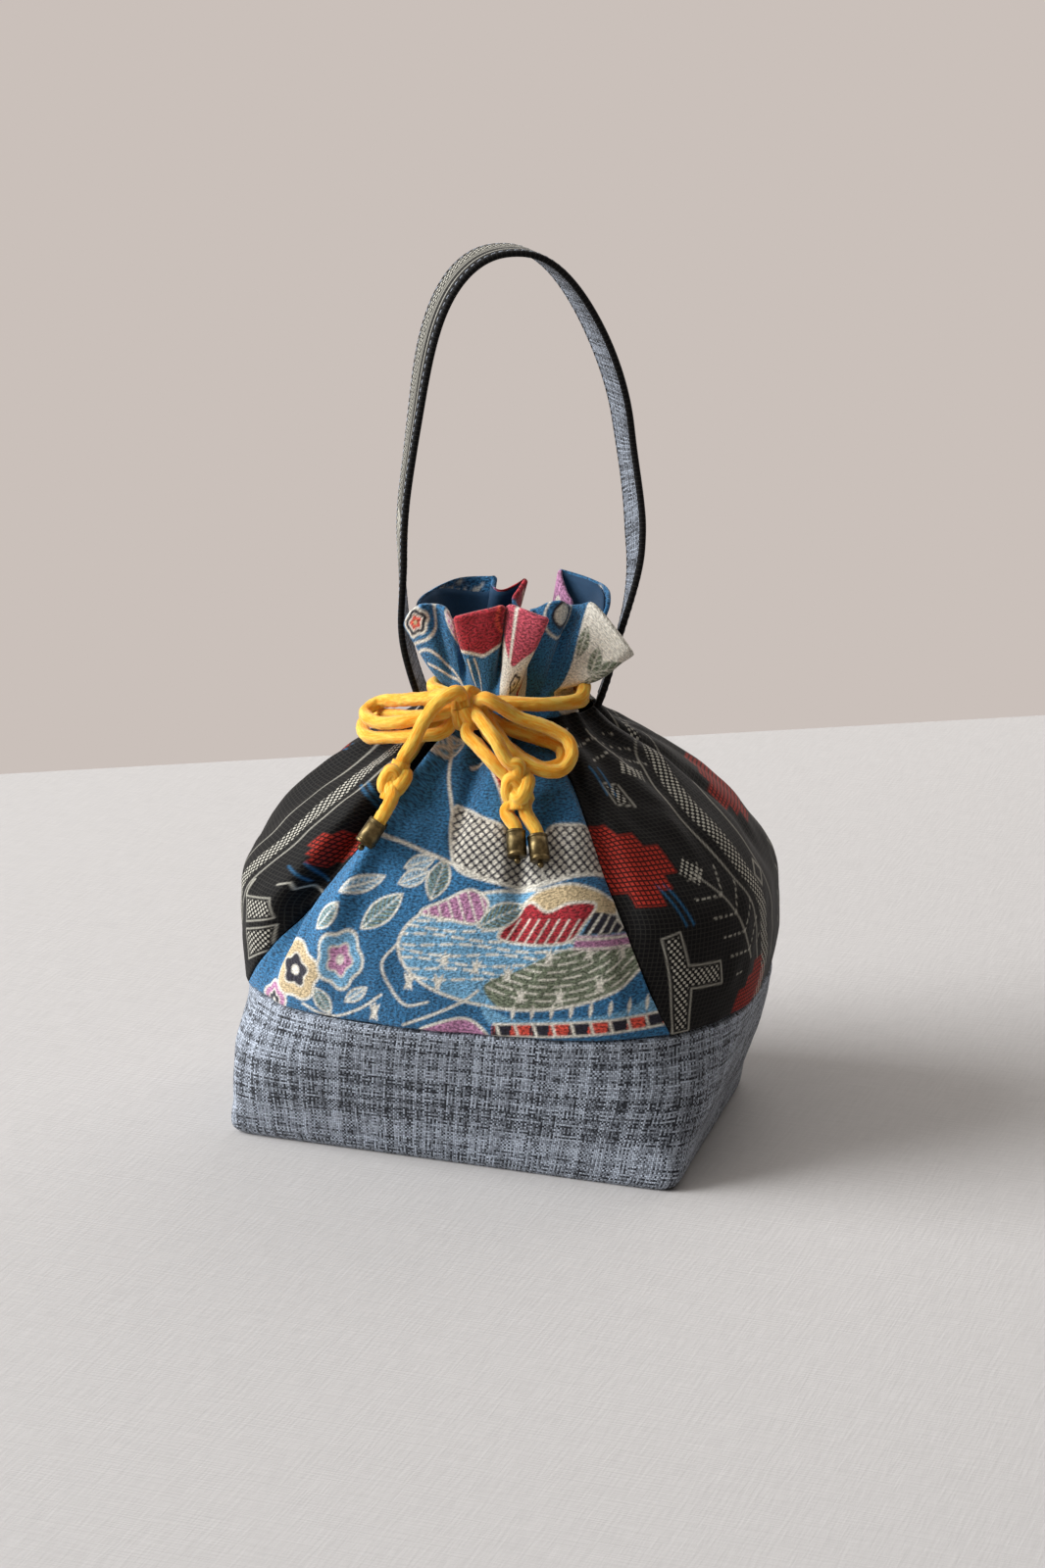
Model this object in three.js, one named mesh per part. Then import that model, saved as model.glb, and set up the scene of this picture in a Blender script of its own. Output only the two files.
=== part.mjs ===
// Drawstring handbag: boxed base, four body panels, a gathered neck with a frill, one carrying strap
// and two drawcords tied in a bow at the front. Millimetres, +Z up, the bag stands on z = 0.
import * as THREE from 'three';

// Base
const BASE_WIDTH = 166;
const BASE_FRONT = 70;
const BASE_BACK = 58;
const BASE_TAPER = 0.001;
const FOOT_ROUND = 2;
const BAND_HEIGHT = 55;

// Body
const GIRTH_WIDTH = 202;
const GIRTH_DEPTH = 162;
const GIRTH_HEIGHT = 75;
const TWIST = 16;
const PANEL_FOOT_ANGLE = 57;
const PANEL_NECK_ANGLE = 33;
const PANEL_LEAN = 6;
const CLOTH = 1.2;
const GAP = 0.3;

// Neck, casing and frill
const NECK_HEIGHT = 167;
const NECK_WIDTH = 58;
const NECK_DEPTH = 54;
const GATHER = 1.2;
const FOLD = 2;
const SEAM_TUCK = 2.5;
const CASING_HEIGHT = 13;
const FRILL_HEIGHT = 31;
const FRILL_WIDTH = 82;
const FRILL_DEPTH = 74;
const FRONT_BAND_ANGLE = 58;
const BACK_BAND_ANGLE = 60;
const LINING = 0.8;
const LINING_GAP = 4;

// Carrying strap
const STRAP_WIDTH = 22;
const STRAP_LAYER = 1.6;
const STRAP_TOP = 329;
const STRAP_SPAN = 87;
const STRAP_MIDDLE = 222;
const STRAP_TOP_TURN = 37;
const STRAP_EASE = 0.75;
const STRAP_FULLNESS = 2.25;
const STRAP_SWAY = 3;
const STRAP_LEAN = 1.5;
const STRAP_LEAN_START = 265;

// Drawcords
const CORD = 5;
const BOW_KNOT = 15.6;
const TAIL_KNOT = 12.4;
const CAP_DIAMETER = 7.4;
const CAP_LENGTH = 10;
const CAP_BALL = 2.4;
const CAP_GRIP = 5;

const RAD = Math.PI / 180;
const FRILL_TOP = NECK_HEIGHT + FRILL_HEIGHT;
const CASING_LOW = NECK_HEIGHT - CASING_HEIGHT / 2;

const DARK = { color: 0x24211f, roughness: 0.85, metalness: 0 };
const BLUE = { color: 0x1f5882, roughness: 0.85, metalness: 0 };
const GREY = { color: 0x6b7078, roughness: 0.9, metalness: 0 };
const TEAL = { color: 0x145578, roughness: 0.8, metalness: 0 };
const YELLOW = { color: 0xf5ae1e, roughness: 0.85, metalness: 0 };
const BRASS = { color: 0x82734f, roughness: 0.4, metalness: 1 };

const group = new THREE.Group();

function add(name, geometry, look) {
  const mesh = new THREE.Mesh(geometry, new THREE.MeshStandardMaterial(look));
  mesh.name = name;
  group.add(mesh);
}

function mix(a, b, t) {
  return a + (b - a) * t;
}

function ramp(t) {
  const s = Math.min(Math.max(t, 0), 1);
  return s * s * (3 - 2 * s);
}

// Sections from the floor to the rim: height, half width, depth in front, depth behind, squareness of
// the front corners, squareness of the back corners, share of the taper.
const SHOULDER = NECK_HEIGHT - GIRTH_HEIGHT;
const A = GIRTH_WIDTH / 2;
const B = GIRTH_DEPTH / 2;
const SECTIONS = [
  [0, BASE_WIDTH / 2 - FOOT_ROUND, BASE_FRONT - FOOT_ROUND, BASE_BACK - FOOT_ROUND, 28, 10, 1],
  [FOOT_ROUND, BASE_WIDTH / 2, BASE_FRONT, BASE_BACK, 28, 10, 1],
  [BAND_HEIGHT / 4, mix(BASE_WIDTH / 2, A, 0.17), mix(BASE_FRONT, B, 0.2), mix(BASE_BACK, B, 0.22), 13, 8, 0.8],
  [BAND_HEIGHT / 2, mix(BASE_WIDTH / 2, A, 0.45), mix(BASE_FRONT, B, 0.5), mix(BASE_BACK, B, 0.48), 6.5, 5.5, 0.5],
  [BAND_HEIGHT, A * 0.97, B * 0.993, B * 0.993, 2.8, 2.8, 0],
  [GIRTH_HEIGHT, A, B, B, 2.7, 2.7, 0],
  [GIRTH_HEIGHT + SHOULDER * 0.185, A * 0.995, B * 0.975, B * 0.975, 2.7, 2.7, 0],
  [GIRTH_HEIGHT + SHOULDER * 0.467, A * 0.871, B * 0.825, B * 0.825, 2.5, 2.5, 0],
  [GIRTH_HEIGHT + SHOULDER * 0.728, A * 0.594, B * 0.588, B * 0.588, 2.3, 2.3, 0],
  [GIRTH_HEIGHT + SHOULDER * 0.88, mix(NECK_WIDTH / 2, A, 0.111), mix(NECK_DEPTH / 2, B, 0.104),
    mix(NECK_DEPTH / 2, B, 0.104), 2, 2, 0],
  [NECK_HEIGHT, NECK_WIDTH / 2, NECK_DEPTH / 2, NECK_DEPTH / 2, 2, 2, 0],
  [NECK_HEIGHT + FRILL_HEIGHT / 2, mix(NECK_WIDTH, FRILL_WIDTH, 0.42) / 2,
    mix(NECK_DEPTH, FRILL_DEPTH, 0.42) / 2, mix(NECK_DEPTH, FRILL_DEPTH, 0.42) / 2, 2, 2, 0],
  [FRILL_TOP, FRILL_WIDTH / 2, FRILL_DEPTH / 2, FRILL_DEPTH / 2, 2, 2, 0],
];

// Smooth curve through the sections that never overshoots.
function through(z, column) {
  const n = SECTIONS.length;
  const slope = (i) => (SECTIONS[i + 1][column] - SECTIONS[i][column]) / (SECTIONS[i + 1][0] - SECTIONS[i][0]);
  const tangent = (i) => {
    if (i === 0) return slope(0);
    if (i === n - 1) return slope(n - 2);
    const before = slope(i - 1);
    const after = slope(i);
    return before * after <= 0 ? 0 : (2 * before * after) / (before + after);
  };
  const h0 = Math.min(Math.max(z, 0), FRILL_TOP);
  let i = 0;
  while (i < n - 2 && h0 > SECTIONS[i + 1][0]) i += 1;
  const step = SECTIONS[i + 1][0] - SECTIONS[i][0];
  const t = (h0 - SECTIONS[i][0]) / step;
  const p = SECTIONS[i][column];
  const q = SECTIONS[i + 1][column];
  const up = t * t * (3 - 2 * t);
  return p + (q - p) * up + step * (tangent(i) * t * (1 - t) * (1 - t) - tangent(i + 1) * t * t * (1 - t));
}

// Frill folds: angle of each valley from the front and how far the fold after it stands out.
const FOLDS = [
  [-80, 7], [-33, 4], [2, 4], [29, 12], [80, -2], [114, 6], [162, 3], [193, 6], [244, -2], [280, 7],
];
const VALLEY = 6;

function frillFold(alpha) {
  const a = ((((alpha + 80) % 360) + 360) % 360) - 80;
  let i = 0;
  while (i < FOLDS.length - 2 && a > FOLDS[i + 1][0]) i += 1;
  const s = (a - FOLDS[i][0]) / (FOLDS[i + 1][0] - FOLDS[i][0]);
  return (FOLDS[i][1] + VALLEY) * Math.pow(Math.sin(Math.PI * Math.min(Math.max(s, 0), 1)), 0.8) - VALLEY;
}

function gathers(alpha) {
  return 0.6 * Math.cos((9 * alpha + 20) * RAD) + 0.4 * Math.cos((13 * alpha - 50) * RAD);
}

// Share of the way down from the neck to the base seam.
function panelDrop(z) {
  return Math.min(Math.max((NECK_HEIGHT - z) / (NECK_HEIGHT - BAND_HEIGHT), 0), 1);
}

// Half angle of the front and the back panel: wide at the base seam, narrow under the neck.
function panelAngle(z) {
  return mix(PANEL_NECK_ANGLE, PANEL_FOOT_ANGLE, Math.pow(panelDrop(z), 2));
}

// Angle by which all four panels turn to the left towards the base seam.
function panelTurn(z) {
  return -PANEL_LEAN * panelDrop(z);
}

// Point of the cloth, alpha in degrees from the front (right side +90), drawn in radially by inset.
function cloth(alpha, z, inset = 0) {
  const t = (alpha - 90) * RAD;
  const front = Math.sin(t) < 0;
  const a = through(z, 1);
  const b = through(z, front ? 2 : 3);
  const n = through(z, front ? 4 : 5);
  let r = Math.pow(Math.pow(Math.abs(Math.cos(t)) / a, n) + Math.pow(Math.abs(Math.sin(t)) / b, n), -1 / n);
  const above = (z - GIRTH_HEIGHT) / SHOULDER;
  r += GATHER * gathers(alpha) * ramp((above - 0.4) / 0.6);
  r += FOLD * gathers(alpha) * ramp((above - 0.25) / 0.5) * ramp((0.95 - above) / 0.2);
  const onPanel = ((((alpha - panelTurn(z) + 180) % 360) + 360) % 360) - 180;
  const seam = Math.abs(90 - Math.abs(onPanel)) - (90 - panelAngle(z));
  const tuck = ramp((z - BAND_HEIGHT) / (GIRTH_HEIGHT - BAND_HEIGHT)) * ramp((1 - above) / 0.3);
  r -= SEAM_TUCK * tuck * Math.exp(-seam * seam / 25);
  r += frillFold(alpha) * ramp((z - NECK_HEIGHT - 3) / (FRILL_HEIGHT - 3));
  r -= inset;
  const y = r * Math.sin(t);
  const x = r * Math.cos(t) * (1 - BASE_TAPER * through(z, 6) * y);
  const turn = TWIST * Math.min(z / NECK_HEIGHT, 1) * RAD;
  return new THREE.Vector3(x * Math.cos(turn) - y * Math.sin(turn), x * Math.sin(turn) + y * Math.cos(turn), z);
}

function clothNormal(alpha, z) {
  const along = cloth(alpha + 0.2, z).sub(cloth(alpha - 0.2, z));
  const up = cloth(alpha, z + 0.2).sub(cloth(alpha, z - 0.2));
  return along.cross(up).normalize();
}

function inward(alpha, z, depth) {
  return cloth(alpha, z).addScaledVector(clothNormal(alpha, z), -depth);
}

function solid(points, faces) {
  const geometry = new THREE.BufferGeometry();
  geometry.setAttribute('position', new THREE.Float32BufferAttribute(points.flatMap((p) => [p.x, p.y, p.z]), 3));
  let volume = 0;
  for (const [i, j, k] of faces) {
    volume += points[i].dot(new THREE.Vector3().crossVectors(points[j], points[k]));
  }
  const turned = volume < 0 ? faces.map(([i, j, k]) => [i, k, j]) : faces;
  geometry.setIndex(turned.flat());
  geometry.computeVertexNormals();
  return geometry;
}

// Closed body of one sheet: two matching grids of points joined round their four edges.
function sheet(outer, inner) {
  const rows = outer.length;
  const cols = outer[0].length;
  const points = [...outer.flat(), ...inner.flat()];
  const at = (side, i, j) => side * rows * cols + i * cols + j;
  const faces = [];
  const quad = (a, b, c, d) => faces.push([a, b, c], [a, c, d]);
  for (let i = 0; i < rows - 1; i += 1) {
    for (let j = 0; j < cols - 1; j += 1) {
      quad(at(0, i, j), at(0, i, j + 1), at(0, i + 1, j + 1), at(0, i + 1, j));
      quad(at(1, i, j), at(1, i + 1, j), at(1, i + 1, j + 1), at(1, i, j + 1));
    }
    quad(at(0, i, 0), at(0, i + 1, 0), at(1, i + 1, 0), at(1, i, 0));
    quad(at(0, i + 1, cols - 1), at(0, i, cols - 1), at(1, i, cols - 1), at(1, i + 1, cols - 1));
  }
  for (let j = 0; j < cols - 1; j += 1) {
    quad(at(0, 0, j + 1), at(0, 0, j), at(1, 0, j), at(1, 0, j + 1));
    quad(at(0, rows - 1, j), at(0, rows - 1, j + 1), at(1, rows - 1, j + 1), at(1, rows - 1, j));
  }
  return solid(points, faces);
}

// Closed body of rings, from a point in the middle of the first to one in the middle of the last.
function bag(first, rings, last) {
  const n = rings[0].length;
  const points = [first, ...rings.flat(), last];
  const at = (i, j) => 1 + i * n + (j % n);
  const end = points.length - 1;
  const faces = [];
  for (let j = 0; j < n; j += 1) {
    faces.push([0, at(0, j + 1), at(0, j)]);
    faces.push([end, at(rings.length - 1, j), at(rings.length - 1, j + 1)]);
    for (let i = 0; i < rings.length - 1; i += 1) {
      faces.push([at(i, j), at(i, j + 1), at(i + 1, j + 1)]);
      faces.push([at(i, j), at(i + 1, j + 1), at(i + 1, j)]);
    }
  }
  return solid(points, faces);
}

function spread(from, to, count) {
  return Array.from({ length: count + 1 }, (unused, i) => mix(from, to, i / count));
}

// Base: floor, four walls and the open top edge. Extra columns round the four corners.
const CORNER_FRONT = Math.atan2(BASE_WIDTH / 2, BASE_FRONT) / RAD;
const CORNER_BACK = 180 - Math.atan2(BASE_WIDTH / 2, BASE_BACK) / RAD;
const ROUND_BASE = [];
for (const [middle, low, high] of [[CORNER_FRONT, 0, 90], [CORNER_BACK, 90, 180]]) {
  const near = [-9, -4, -1.5, 0, 1.5, 4, 9].map((d) => middle + d);
  ROUND_BASE.push(...spread(low, near[0], 5).slice(0, -1), ...near, ...spread(near[6], high, 5).slice(1, -1));
}
const BASE_COLUMNS = [...ROUND_BASE, 180, ...ROUND_BASE.slice(1).reverse().map((a) => 360 - a)];
const BASE_ROWS = [0, FOOT_ROUND * 0.3, FOOT_ROUND, ...spread(0, BAND_HEIGHT - GAP / 2, 3).slice(1)];
const baseOuter = BASE_ROWS.map((z) => BASE_COLUMNS.map((a) => cloth(a, z, z === 0 ? FOOT_ROUND * 0.3 : 0)));
const baseInner = BASE_ROWS.slice(2).reverse().map((z) => BASE_COLUMNS.map((a) => cloth(a, z, CLOTH)));
baseInner.push(BASE_COLUMNS.map((a) => cloth(a, CLOTH, CLOTH + FOOT_ROUND / 2)));
add('base_cloth', bag(new THREE.Vector3(0, 0, 0), [...baseOuter, ...baseInner], new THREE.Vector3(0, 0, CLOTH)), GREY);

// Four body panels between the base seam and the casing, meeting at the side seams.
const PANEL_ROWS = spread(BAND_HEIGHT + GAP / 2, CASING_LOW - GAP / 2, 9);

function panel(middle, halfAngle, columns) {
  const grid = (depth) => PANEL_ROWS.map((z) => {
    const reach = cloth(middle, z).setZ(0).length();
    const half = halfAngle(z) - GAP / 2 / reach / RAD;
    const turned = middle + panelTurn(z);
    return spread(turned - half, turned + half, columns).map((a) => inward(a, z, depth));
  });
  return sheet(grid(0), grid(CLOTH));
}

add('front_panel', panel(0, panelAngle, 14), BLUE);
add('back_panel', panel(180, panelAngle, 14), BLUE);
add('left_side_panel', panel(-90, (z) => 90 - panelAngle(z), 16), DARK);
add('right_side_panel', panel(90, (z) => 90 - panelAngle(z), 16), DARK);

// Casing and frill, one band over the front half and one over the back half, open at the sides.
const TOP_ROWS = [
  ...spread(CASING_LOW + GAP / 2, NECK_HEIGHT + CASING_HEIGHT * 0.3, 3),
  ...spread(NECK_HEIGHT + CASING_HEIGHT * 0.3, FRILL_TOP, 5).slice(1),
];
const FRONT_COLUMNS = spread(-FRONT_BAND_ANGLE, FRONT_BAND_ANGLE, 24);
const BACK_COLUMNS = spread(180 - BACK_BAND_ANGLE, 180 + BACK_BAND_ANGLE, 20);

function topBand(columns) {
  const grid = (inset) => TOP_ROWS.map((z) => columns.map((a) => cloth(a, z, inset)));
  return sheet(grid(0), grid(CLOTH));
}

add('front_top_band', topBand(FRONT_COLUMNS), BLUE);
add('back_top_band', topBand(BACK_COLUMNS), BLUE);

// Lining: an inner bag, drawn in at the casing so that the cords run between it and the cloth.
const RING = NECK_DEPTH / 2 - GATHER - CLOTH - GAP - CORD / 2;
const LINING_NECK = RING - CORD / 2 - GAP;
const LINING_COLUMNS = [
  ...FRONT_COLUMNS,
  ...spread(FRONT_BAND_ANGLE, 180 - BACK_BAND_ANGLE, 5).slice(1, -1),
  ...BACK_COLUMNS,
  ...spread(180 + BACK_BAND_ANGLE, 360 - FRONT_BAND_ANGLE, 5).slice(1, -1),
];

function liningPoint(alpha, z, depth) {
  const clear = z < NECK_HEIGHT ? CLOTH + LINING_GAP : CLOTH + GAP;
  const free = cloth(alpha, z, clear + depth);
  const away = Math.abs(z - NECK_HEIGHT) - CASING_HEIGHT / 2;
  const share = z < NECK_HEIGHT ? ramp(away / 20) : ramp(away / 9);
  const angle = Math.atan2(free.y, free.x);
  const reach = mix(LINING_NECK - depth, Math.hypot(free.x, free.y), share);
  return new THREE.Vector3(reach * Math.cos(angle), reach * Math.sin(angle), z);
}

const LINING_FLOOR = CLOTH + GAP;
const LINING_ROWS = [LINING_FLOOR + FOOT_ROUND, ...spread(0, BAND_HEIGHT, 3).slice(1), GIRTH_HEIGHT,
  ...spread(GIRTH_HEIGHT, CASING_LOW - 6, 3).slice(1), CASING_LOW, ...TOP_ROWS.slice(2)];
const liningRing = (z, depth) => LINING_COLUMNS.map((a) => liningPoint(a, z, depth));
add('lining', bag(
  new THREE.Vector3(0, 0, LINING_FLOOR),
  [
    liningRing(LINING_FLOOR, FOOT_ROUND),
    ...LINING_ROWS.map((z) => liningRing(z, 0)),
    ...LINING_ROWS.slice().reverse().map((z) => liningRing(z, LINING)),
    liningRing(LINING_FLOOR + LINING, FOOT_ROUND + LINING),
  ],
  new THREE.Vector3(0, 0, LINING_FLOOR + LINING),
), TEAL);

// Carrying strap: a tall loop from the left side of the neck to the right, two layers of cloth. It sways to
// the right above the frill and leans back to the left at the top.
const STRAP_FOOT = CASING_LOW + GAP;
const STRAP_FOOT_SPAN = NECK_WIDTH + 2 * (GATHER + STRAP_LAYER + 2 * GAP + STRAP_EASE);

function strapMiddle(t) {
  const low = STRAP_MIDDLE - STRAP_FOOT;
  const dip = low / Math.sqrt(1 - Math.pow(STRAP_FOOT_SPAN / STRAP_SPAN, 2));
  const foot = Math.asin(low / dip);
  const angle = mix(Math.PI + foot, -foot, t);
  const above = Math.sin(angle) > 0;
  const rise = above ? STRAP_TOP - STRAP_MIDDLE : dip;
  const z = STRAP_MIDDLE + rise * Math.sin(angle);
  const half = Math.pow(Math.abs(Math.cos(angle)), above ? 2 / STRAP_FULLNESS : 1) * Math.sign(Math.cos(angle));
  const lean = mix(STRAP_SWAY, -STRAP_LEAN, ramp((z - STRAP_LEAN_START) / (STRAP_TOP - STRAP_LEAN_START)));
  const x = (STRAP_SPAN / 2) * half + lean * ramp((z - FRILL_TOP + 20) / 40);
  const turn = mix(TWIST, STRAP_TOP_TURN, ramp((z - FRILL_TOP + 6) / 70)) * RAD;
  return { point: new THREE.Vector3(x * Math.cos(turn), x * Math.sin(turn), z), turn };
}

function strapLayer(from, to) {
  const steps = 44;
  const line = (depth) => spread(0, 1, steps).map((t) => {
    const { point, turn } = strapMiddle(t);
    const ahead = strapMiddle(Math.min(t + 0.002, 1)).point.sub(strapMiddle(Math.max(t - 0.002, 0)).point);
    const across = new THREE.Vector3(-Math.sin(turn), Math.cos(turn), 0);
    const out = across.clone().cross(ahead).normalize().negate();
    const side = ahead.clone().cross(out).normalize();
    return [-0.5, 0.5].map((s) => point.clone().addScaledVector(out, depth).addScaledVector(side, s * STRAP_WIDTH));
  });
  return sheet(line(from), line(to));
}

add('handle_outer', strapLayer(GAP / 2 + STRAP_LAYER, GAP / 2), DARK);
add('handle_inner', strapLayer(-GAP / 2, -GAP / 2 - STRAP_LAYER), GREY);

// Cords
const CORD_SECTION = new THREE.Shape(
  Array.from({ length: 8 }, (unused, i) => new THREE.Vector2(
    (CORD / 2) * Math.cos((i * Math.PI) / 4), (CORD / 2) * Math.sin((i * Math.PI) / 4))),
);

function cord(name, points, steps) {
  const path = new THREE.CatmullRomCurve3(points, false, 'centripetal');
  add(name, new THREE.ExtrudeGeometry(CORD_SECTION, { steps, extrudePath: path, bevelEnabled: false }), YELLOW);
}

// Point round the neck: angle from the front, distance from the axis, height above the cords' level.
function roundNeck(alpha, reach, rise) {
  const turn = (alpha - 90 + TWIST) * RAD;
  return new THREE.Vector3(reach * Math.cos(turn), reach * Math.sin(turn), NECK_HEIGHT + rise);
}

// Moves a point out along the cloth's slope until it is clear of the cloth.
function offCloth(point, clearance) {
  const z = Math.min(point.z, NECK_HEIGHT);
  const turn = TWIST * Math.min(z / NECK_HEIGHT, 1);
  const alpha = Math.atan2(point.y, point.x) / RAD + 90 - turn;
  const normal = clothNormal(alpha, z);
  const distance = point.clone().sub(cloth(alpha, z)).dot(normal);
  return distance < clearance ? point.clone().addScaledVector(normal, clearance - distance) : point;
}

const OUT_NEAR = NECK_WIDTH / 2 + GATHER + GAP + CORD / 2;
const OUT_FAR = OUT_NEAR + CORD + GAP;
const LEVEL = CORD / 2 + GAP;

// Each drawcord runs once round the neck in the casing; both its ends leave by the slit on its own side.
function drawcord(name, side, level, knotAngle) {
  const slit = FRONT_BAND_ANGLE;
  const near = spread(knotAngle, slit - 3, 3);
  const points = [
    ...near.map((a, i) => [a, OUT_NEAR, 1 - i / 3 + level * (0.2 + 0.6 * i)]),
    [slit + 6.5, OUT_NEAR - 2.5, level * LEVEL * 0.85],
    [slit + 9, (OUT_NEAR + RING) / 2, level * LEVEL * 0.93],
    [slit + 6, RING + 1.2, level * LEVEL],
    [slit - 4, RING, level * LEVEL],
    ...spread(slit - 16, -255, 12).map((a) => [a, RING, level * LEVEL]),
    [-266, RING + 1.5, level * LEVEL * 0.9],
    [-277, RING + 4.2, level * 0.8],
    [-287, RING + 6.2, level * -2.4],
    [slit + 6.5 - 360, OUT_NEAR - 2.5, level * -3.6],
    [slit - 3 - 360, OUT_NEAR + 2, level * -3.4],
    [slit - 13 - 360, OUT_FAR, level * -0.5 + 0.5],
    [mix(slit - 13, knotAngle + 3, 0.5) - 360, OUT_FAR, 1],
    [knotAngle - 357, OUT_FAR, 1.5],
  ];
  cord(name, points.map(([a, reach, rise]) => roundNeck(a * side, reach, rise)), 48);
}

const KNOT_ANGLE = -17.4;
drawcord('drawcord_left', -1, 1, 15.6 - KNOT_ANGLE);
drawcord('drawcord_right', 1, -1, 15.4 + KNOT_ANGLE);

// The bow: a knot in front of the neck; the loops and tails are given from its middle.
const KNOT = roundNeck(KNOT_ANGLE, NECK_DEPTH / 2 + GATHER + GAP + BOW_KNOT / 2 + 4, 0);

function ball(name, middle, diameter) {
  const geometry = new THREE.SphereGeometry(diameter / 2, 12, 8);
  geometry.translate(middle.x, middle.y, middle.z);
  add(name, geometry, YELLOW);
}

function fromKnot(route, clearance = CORD / 2 + GATHER + GAP) {
  return route.map(([x, y, z]) => offCloth(KNOT.clone().add(new THREE.Vector3(x, y, z)), clearance));
}

// The last bit of a cord that meets a knot squarely.
function squareEnd(middle, diameter, toward) {
  const out = toward.clone().sub(middle).normalize();
  return [diameter / 2 + GAP, diameter / 2 + CORD * 0.7].map((d) => middle.clone().addScaledVector(out, d));
}

ball('bow_knot', KNOT, BOW_KNOT);

const LOOPS = {
  loop_left_front: [[-7.4, -4.8, 5.2], [-16, -1, 2.5], [-29, 5, -1], [-40, 10, -4], [-43.5, 5, -7], [-36, -3, -8],
    [-25, -7, -6], [-15, -7, -3], [-8.5, -6, -1]],
  loop_left_rear: [[-8.5, 1.5, -3], [-20, 1, -5.5], [-34, 8, -8], [-45, 15, -11], [-47, 11, -13.5], [-40, 0, -14.8],
    [-30, -5, -12.6], [-18, -8, -10.2], [-8, -5, -8.2]],
  loop_right_front: [[8, -5, 5.5], [19, 0, -2], [29, 4, -6], [36, 5, -10], [39, 1, -15], [37, -5, -19], [30, -9, -18],
    [21, -9, -14], [10, -3, -6]],
  loop_right_rear: [[8, 3, -5], [17, 5, -9], [26, 8, -12], [32, 9, -15], [34, 4, -19], [29, 0, -20], [22, 0, -18],
    [15, 0, -14], [7, 2, -10.5]],
};
for (const [name, route] of Object.entries(LOOPS)) {
  cord(name, fromKnot(route), 18);
}

const TAIL_KNOTS = { left: fromKnot([[-22, -19, -25]], TAIL_KNOT / 2 + GAP)[0],
  right: fromKnot([[24, -13, -25]], TAIL_KNOT / 2 + GAP)[0] };
const TAILS = {
  tail_left_front: ['left', [[-2, -8, 8], [-8, -11, 4], [-13, -13, -3], [-17, -15, -12], [-20, -17, -18]]],
  tail_left_rear: ['left', [[-8, 8, -7], [-16, 6, -9], [-20, 2, -12.5], [-21, -3.5, -17], [-22, -11, -20]]],
  tail_right_inner: ['right', [[1.5, -6.5, -6.5], [7, -10.5, -11], [13.5, -13.5, -15.5], [18, -13.5, -19.5]]],
  tail_right_outer: ['right', [[8, -9, -2], [15, -14, -7], [21, -15, -15], [24, -14, -18]]],
};
for (const [name, [side, route]] of Object.entries(TAILS)) {
  const points = fromKnot(route);
  const first = squareEnd(KNOT, BOW_KNOT, points[0]);
  const last = squareEnd(TAIL_KNOTS[side], TAIL_KNOT, points[points.length - 1]).reverse();
  cord(name, [...first, ...points.slice(1, -1), ...last], 12);
}
ball('tail_knot_left', TAIL_KNOTS.left, TAIL_KNOT);
ball('tail_knot_right', TAIL_KNOTS.right, TAIL_KNOT);

// Brass cord ends: a cup that grips the cord, closed by a small ball.
function cap(name, mouth, direction) {
  const outer = CAP_DIAMETER / 2;
  const bore = CORD / 2 + GAP;
  const profile = [[0, -CAP_GRIP - GAP], [bore, -CAP_GRIP - GAP], [bore, 0], [outer - 0.4, 0], [outer, -0.4],
    [outer, -CAP_LENGTH + 0.8], [outer - 0.8, -CAP_LENGTH]];
  const neck = CAP_BALL * 0.3;
  profile.push([neck, -CAP_LENGTH], [neck, -CAP_LENGTH - 0.5]);
  for (const turn of spread(45, 140, 2)) {
    profile.push([(CAP_BALL / 2) * Math.sin(turn * RAD), -CAP_LENGTH - 0.5 - (CAP_BALL / 2) * (1 - Math.cos(turn * RAD))]);
  }
  profile.push([0, -CAP_LENGTH - 0.5 - CAP_BALL]);
  const geometry = new THREE.LatheGeometry(profile.reverse().map(([r, y]) => new THREE.Vector2(r, y)), 12);
  geometry.applyQuaternion(new THREE.Quaternion().setFromUnitVectors(new THREE.Vector3(0, -1, 0), direction));
  geometry.translate(mouth.x, mouth.y, mouth.z);
  add(name, geometry, BRASS);
}

const CAP_CLEAR = CAP_DIAMETER / 2 + GAP;
const ENDS = {
  left_front: ['left', [1.5, -6.8, -3.5], [-22, -35, -36], [-26, -39, -43]],
  left_rear: ['left', [-1.5, -1, -7.4], [-25, -27, -38], [-28, -31, -46]],
  right_inner: ['right', [-2.9, -3, -6.4], [25, -20, -39], [27, -24, -45]],
  right_outer: ['right', [2.9, -2.2, -6.4], [33, -19, -40], [35.4, -23, -46]],
};
for (const [name, [side, leave, from, to]] of Object.entries(ENDS)) {
  const [mouth, tip] = fromKnot([from, to], CAP_CLEAR);
  const direction = tip.clone().sub(mouth).normalize();
  const root = squareEnd(TAIL_KNOTS[side], TAIL_KNOT, TAIL_KNOTS[side].clone().add(new THREE.Vector3(...leave)));
  const before = mouth.clone().addScaledVector(direction, -1.5);
  const inside = mouth.clone().addScaledVector(direction, CAP_GRIP);
  cord(`tip_${name}`, [...root, before, inside], 6);
  cap(`cord_end_${name}`, mouth, direction);
}

export default group;
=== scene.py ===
import math

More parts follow.
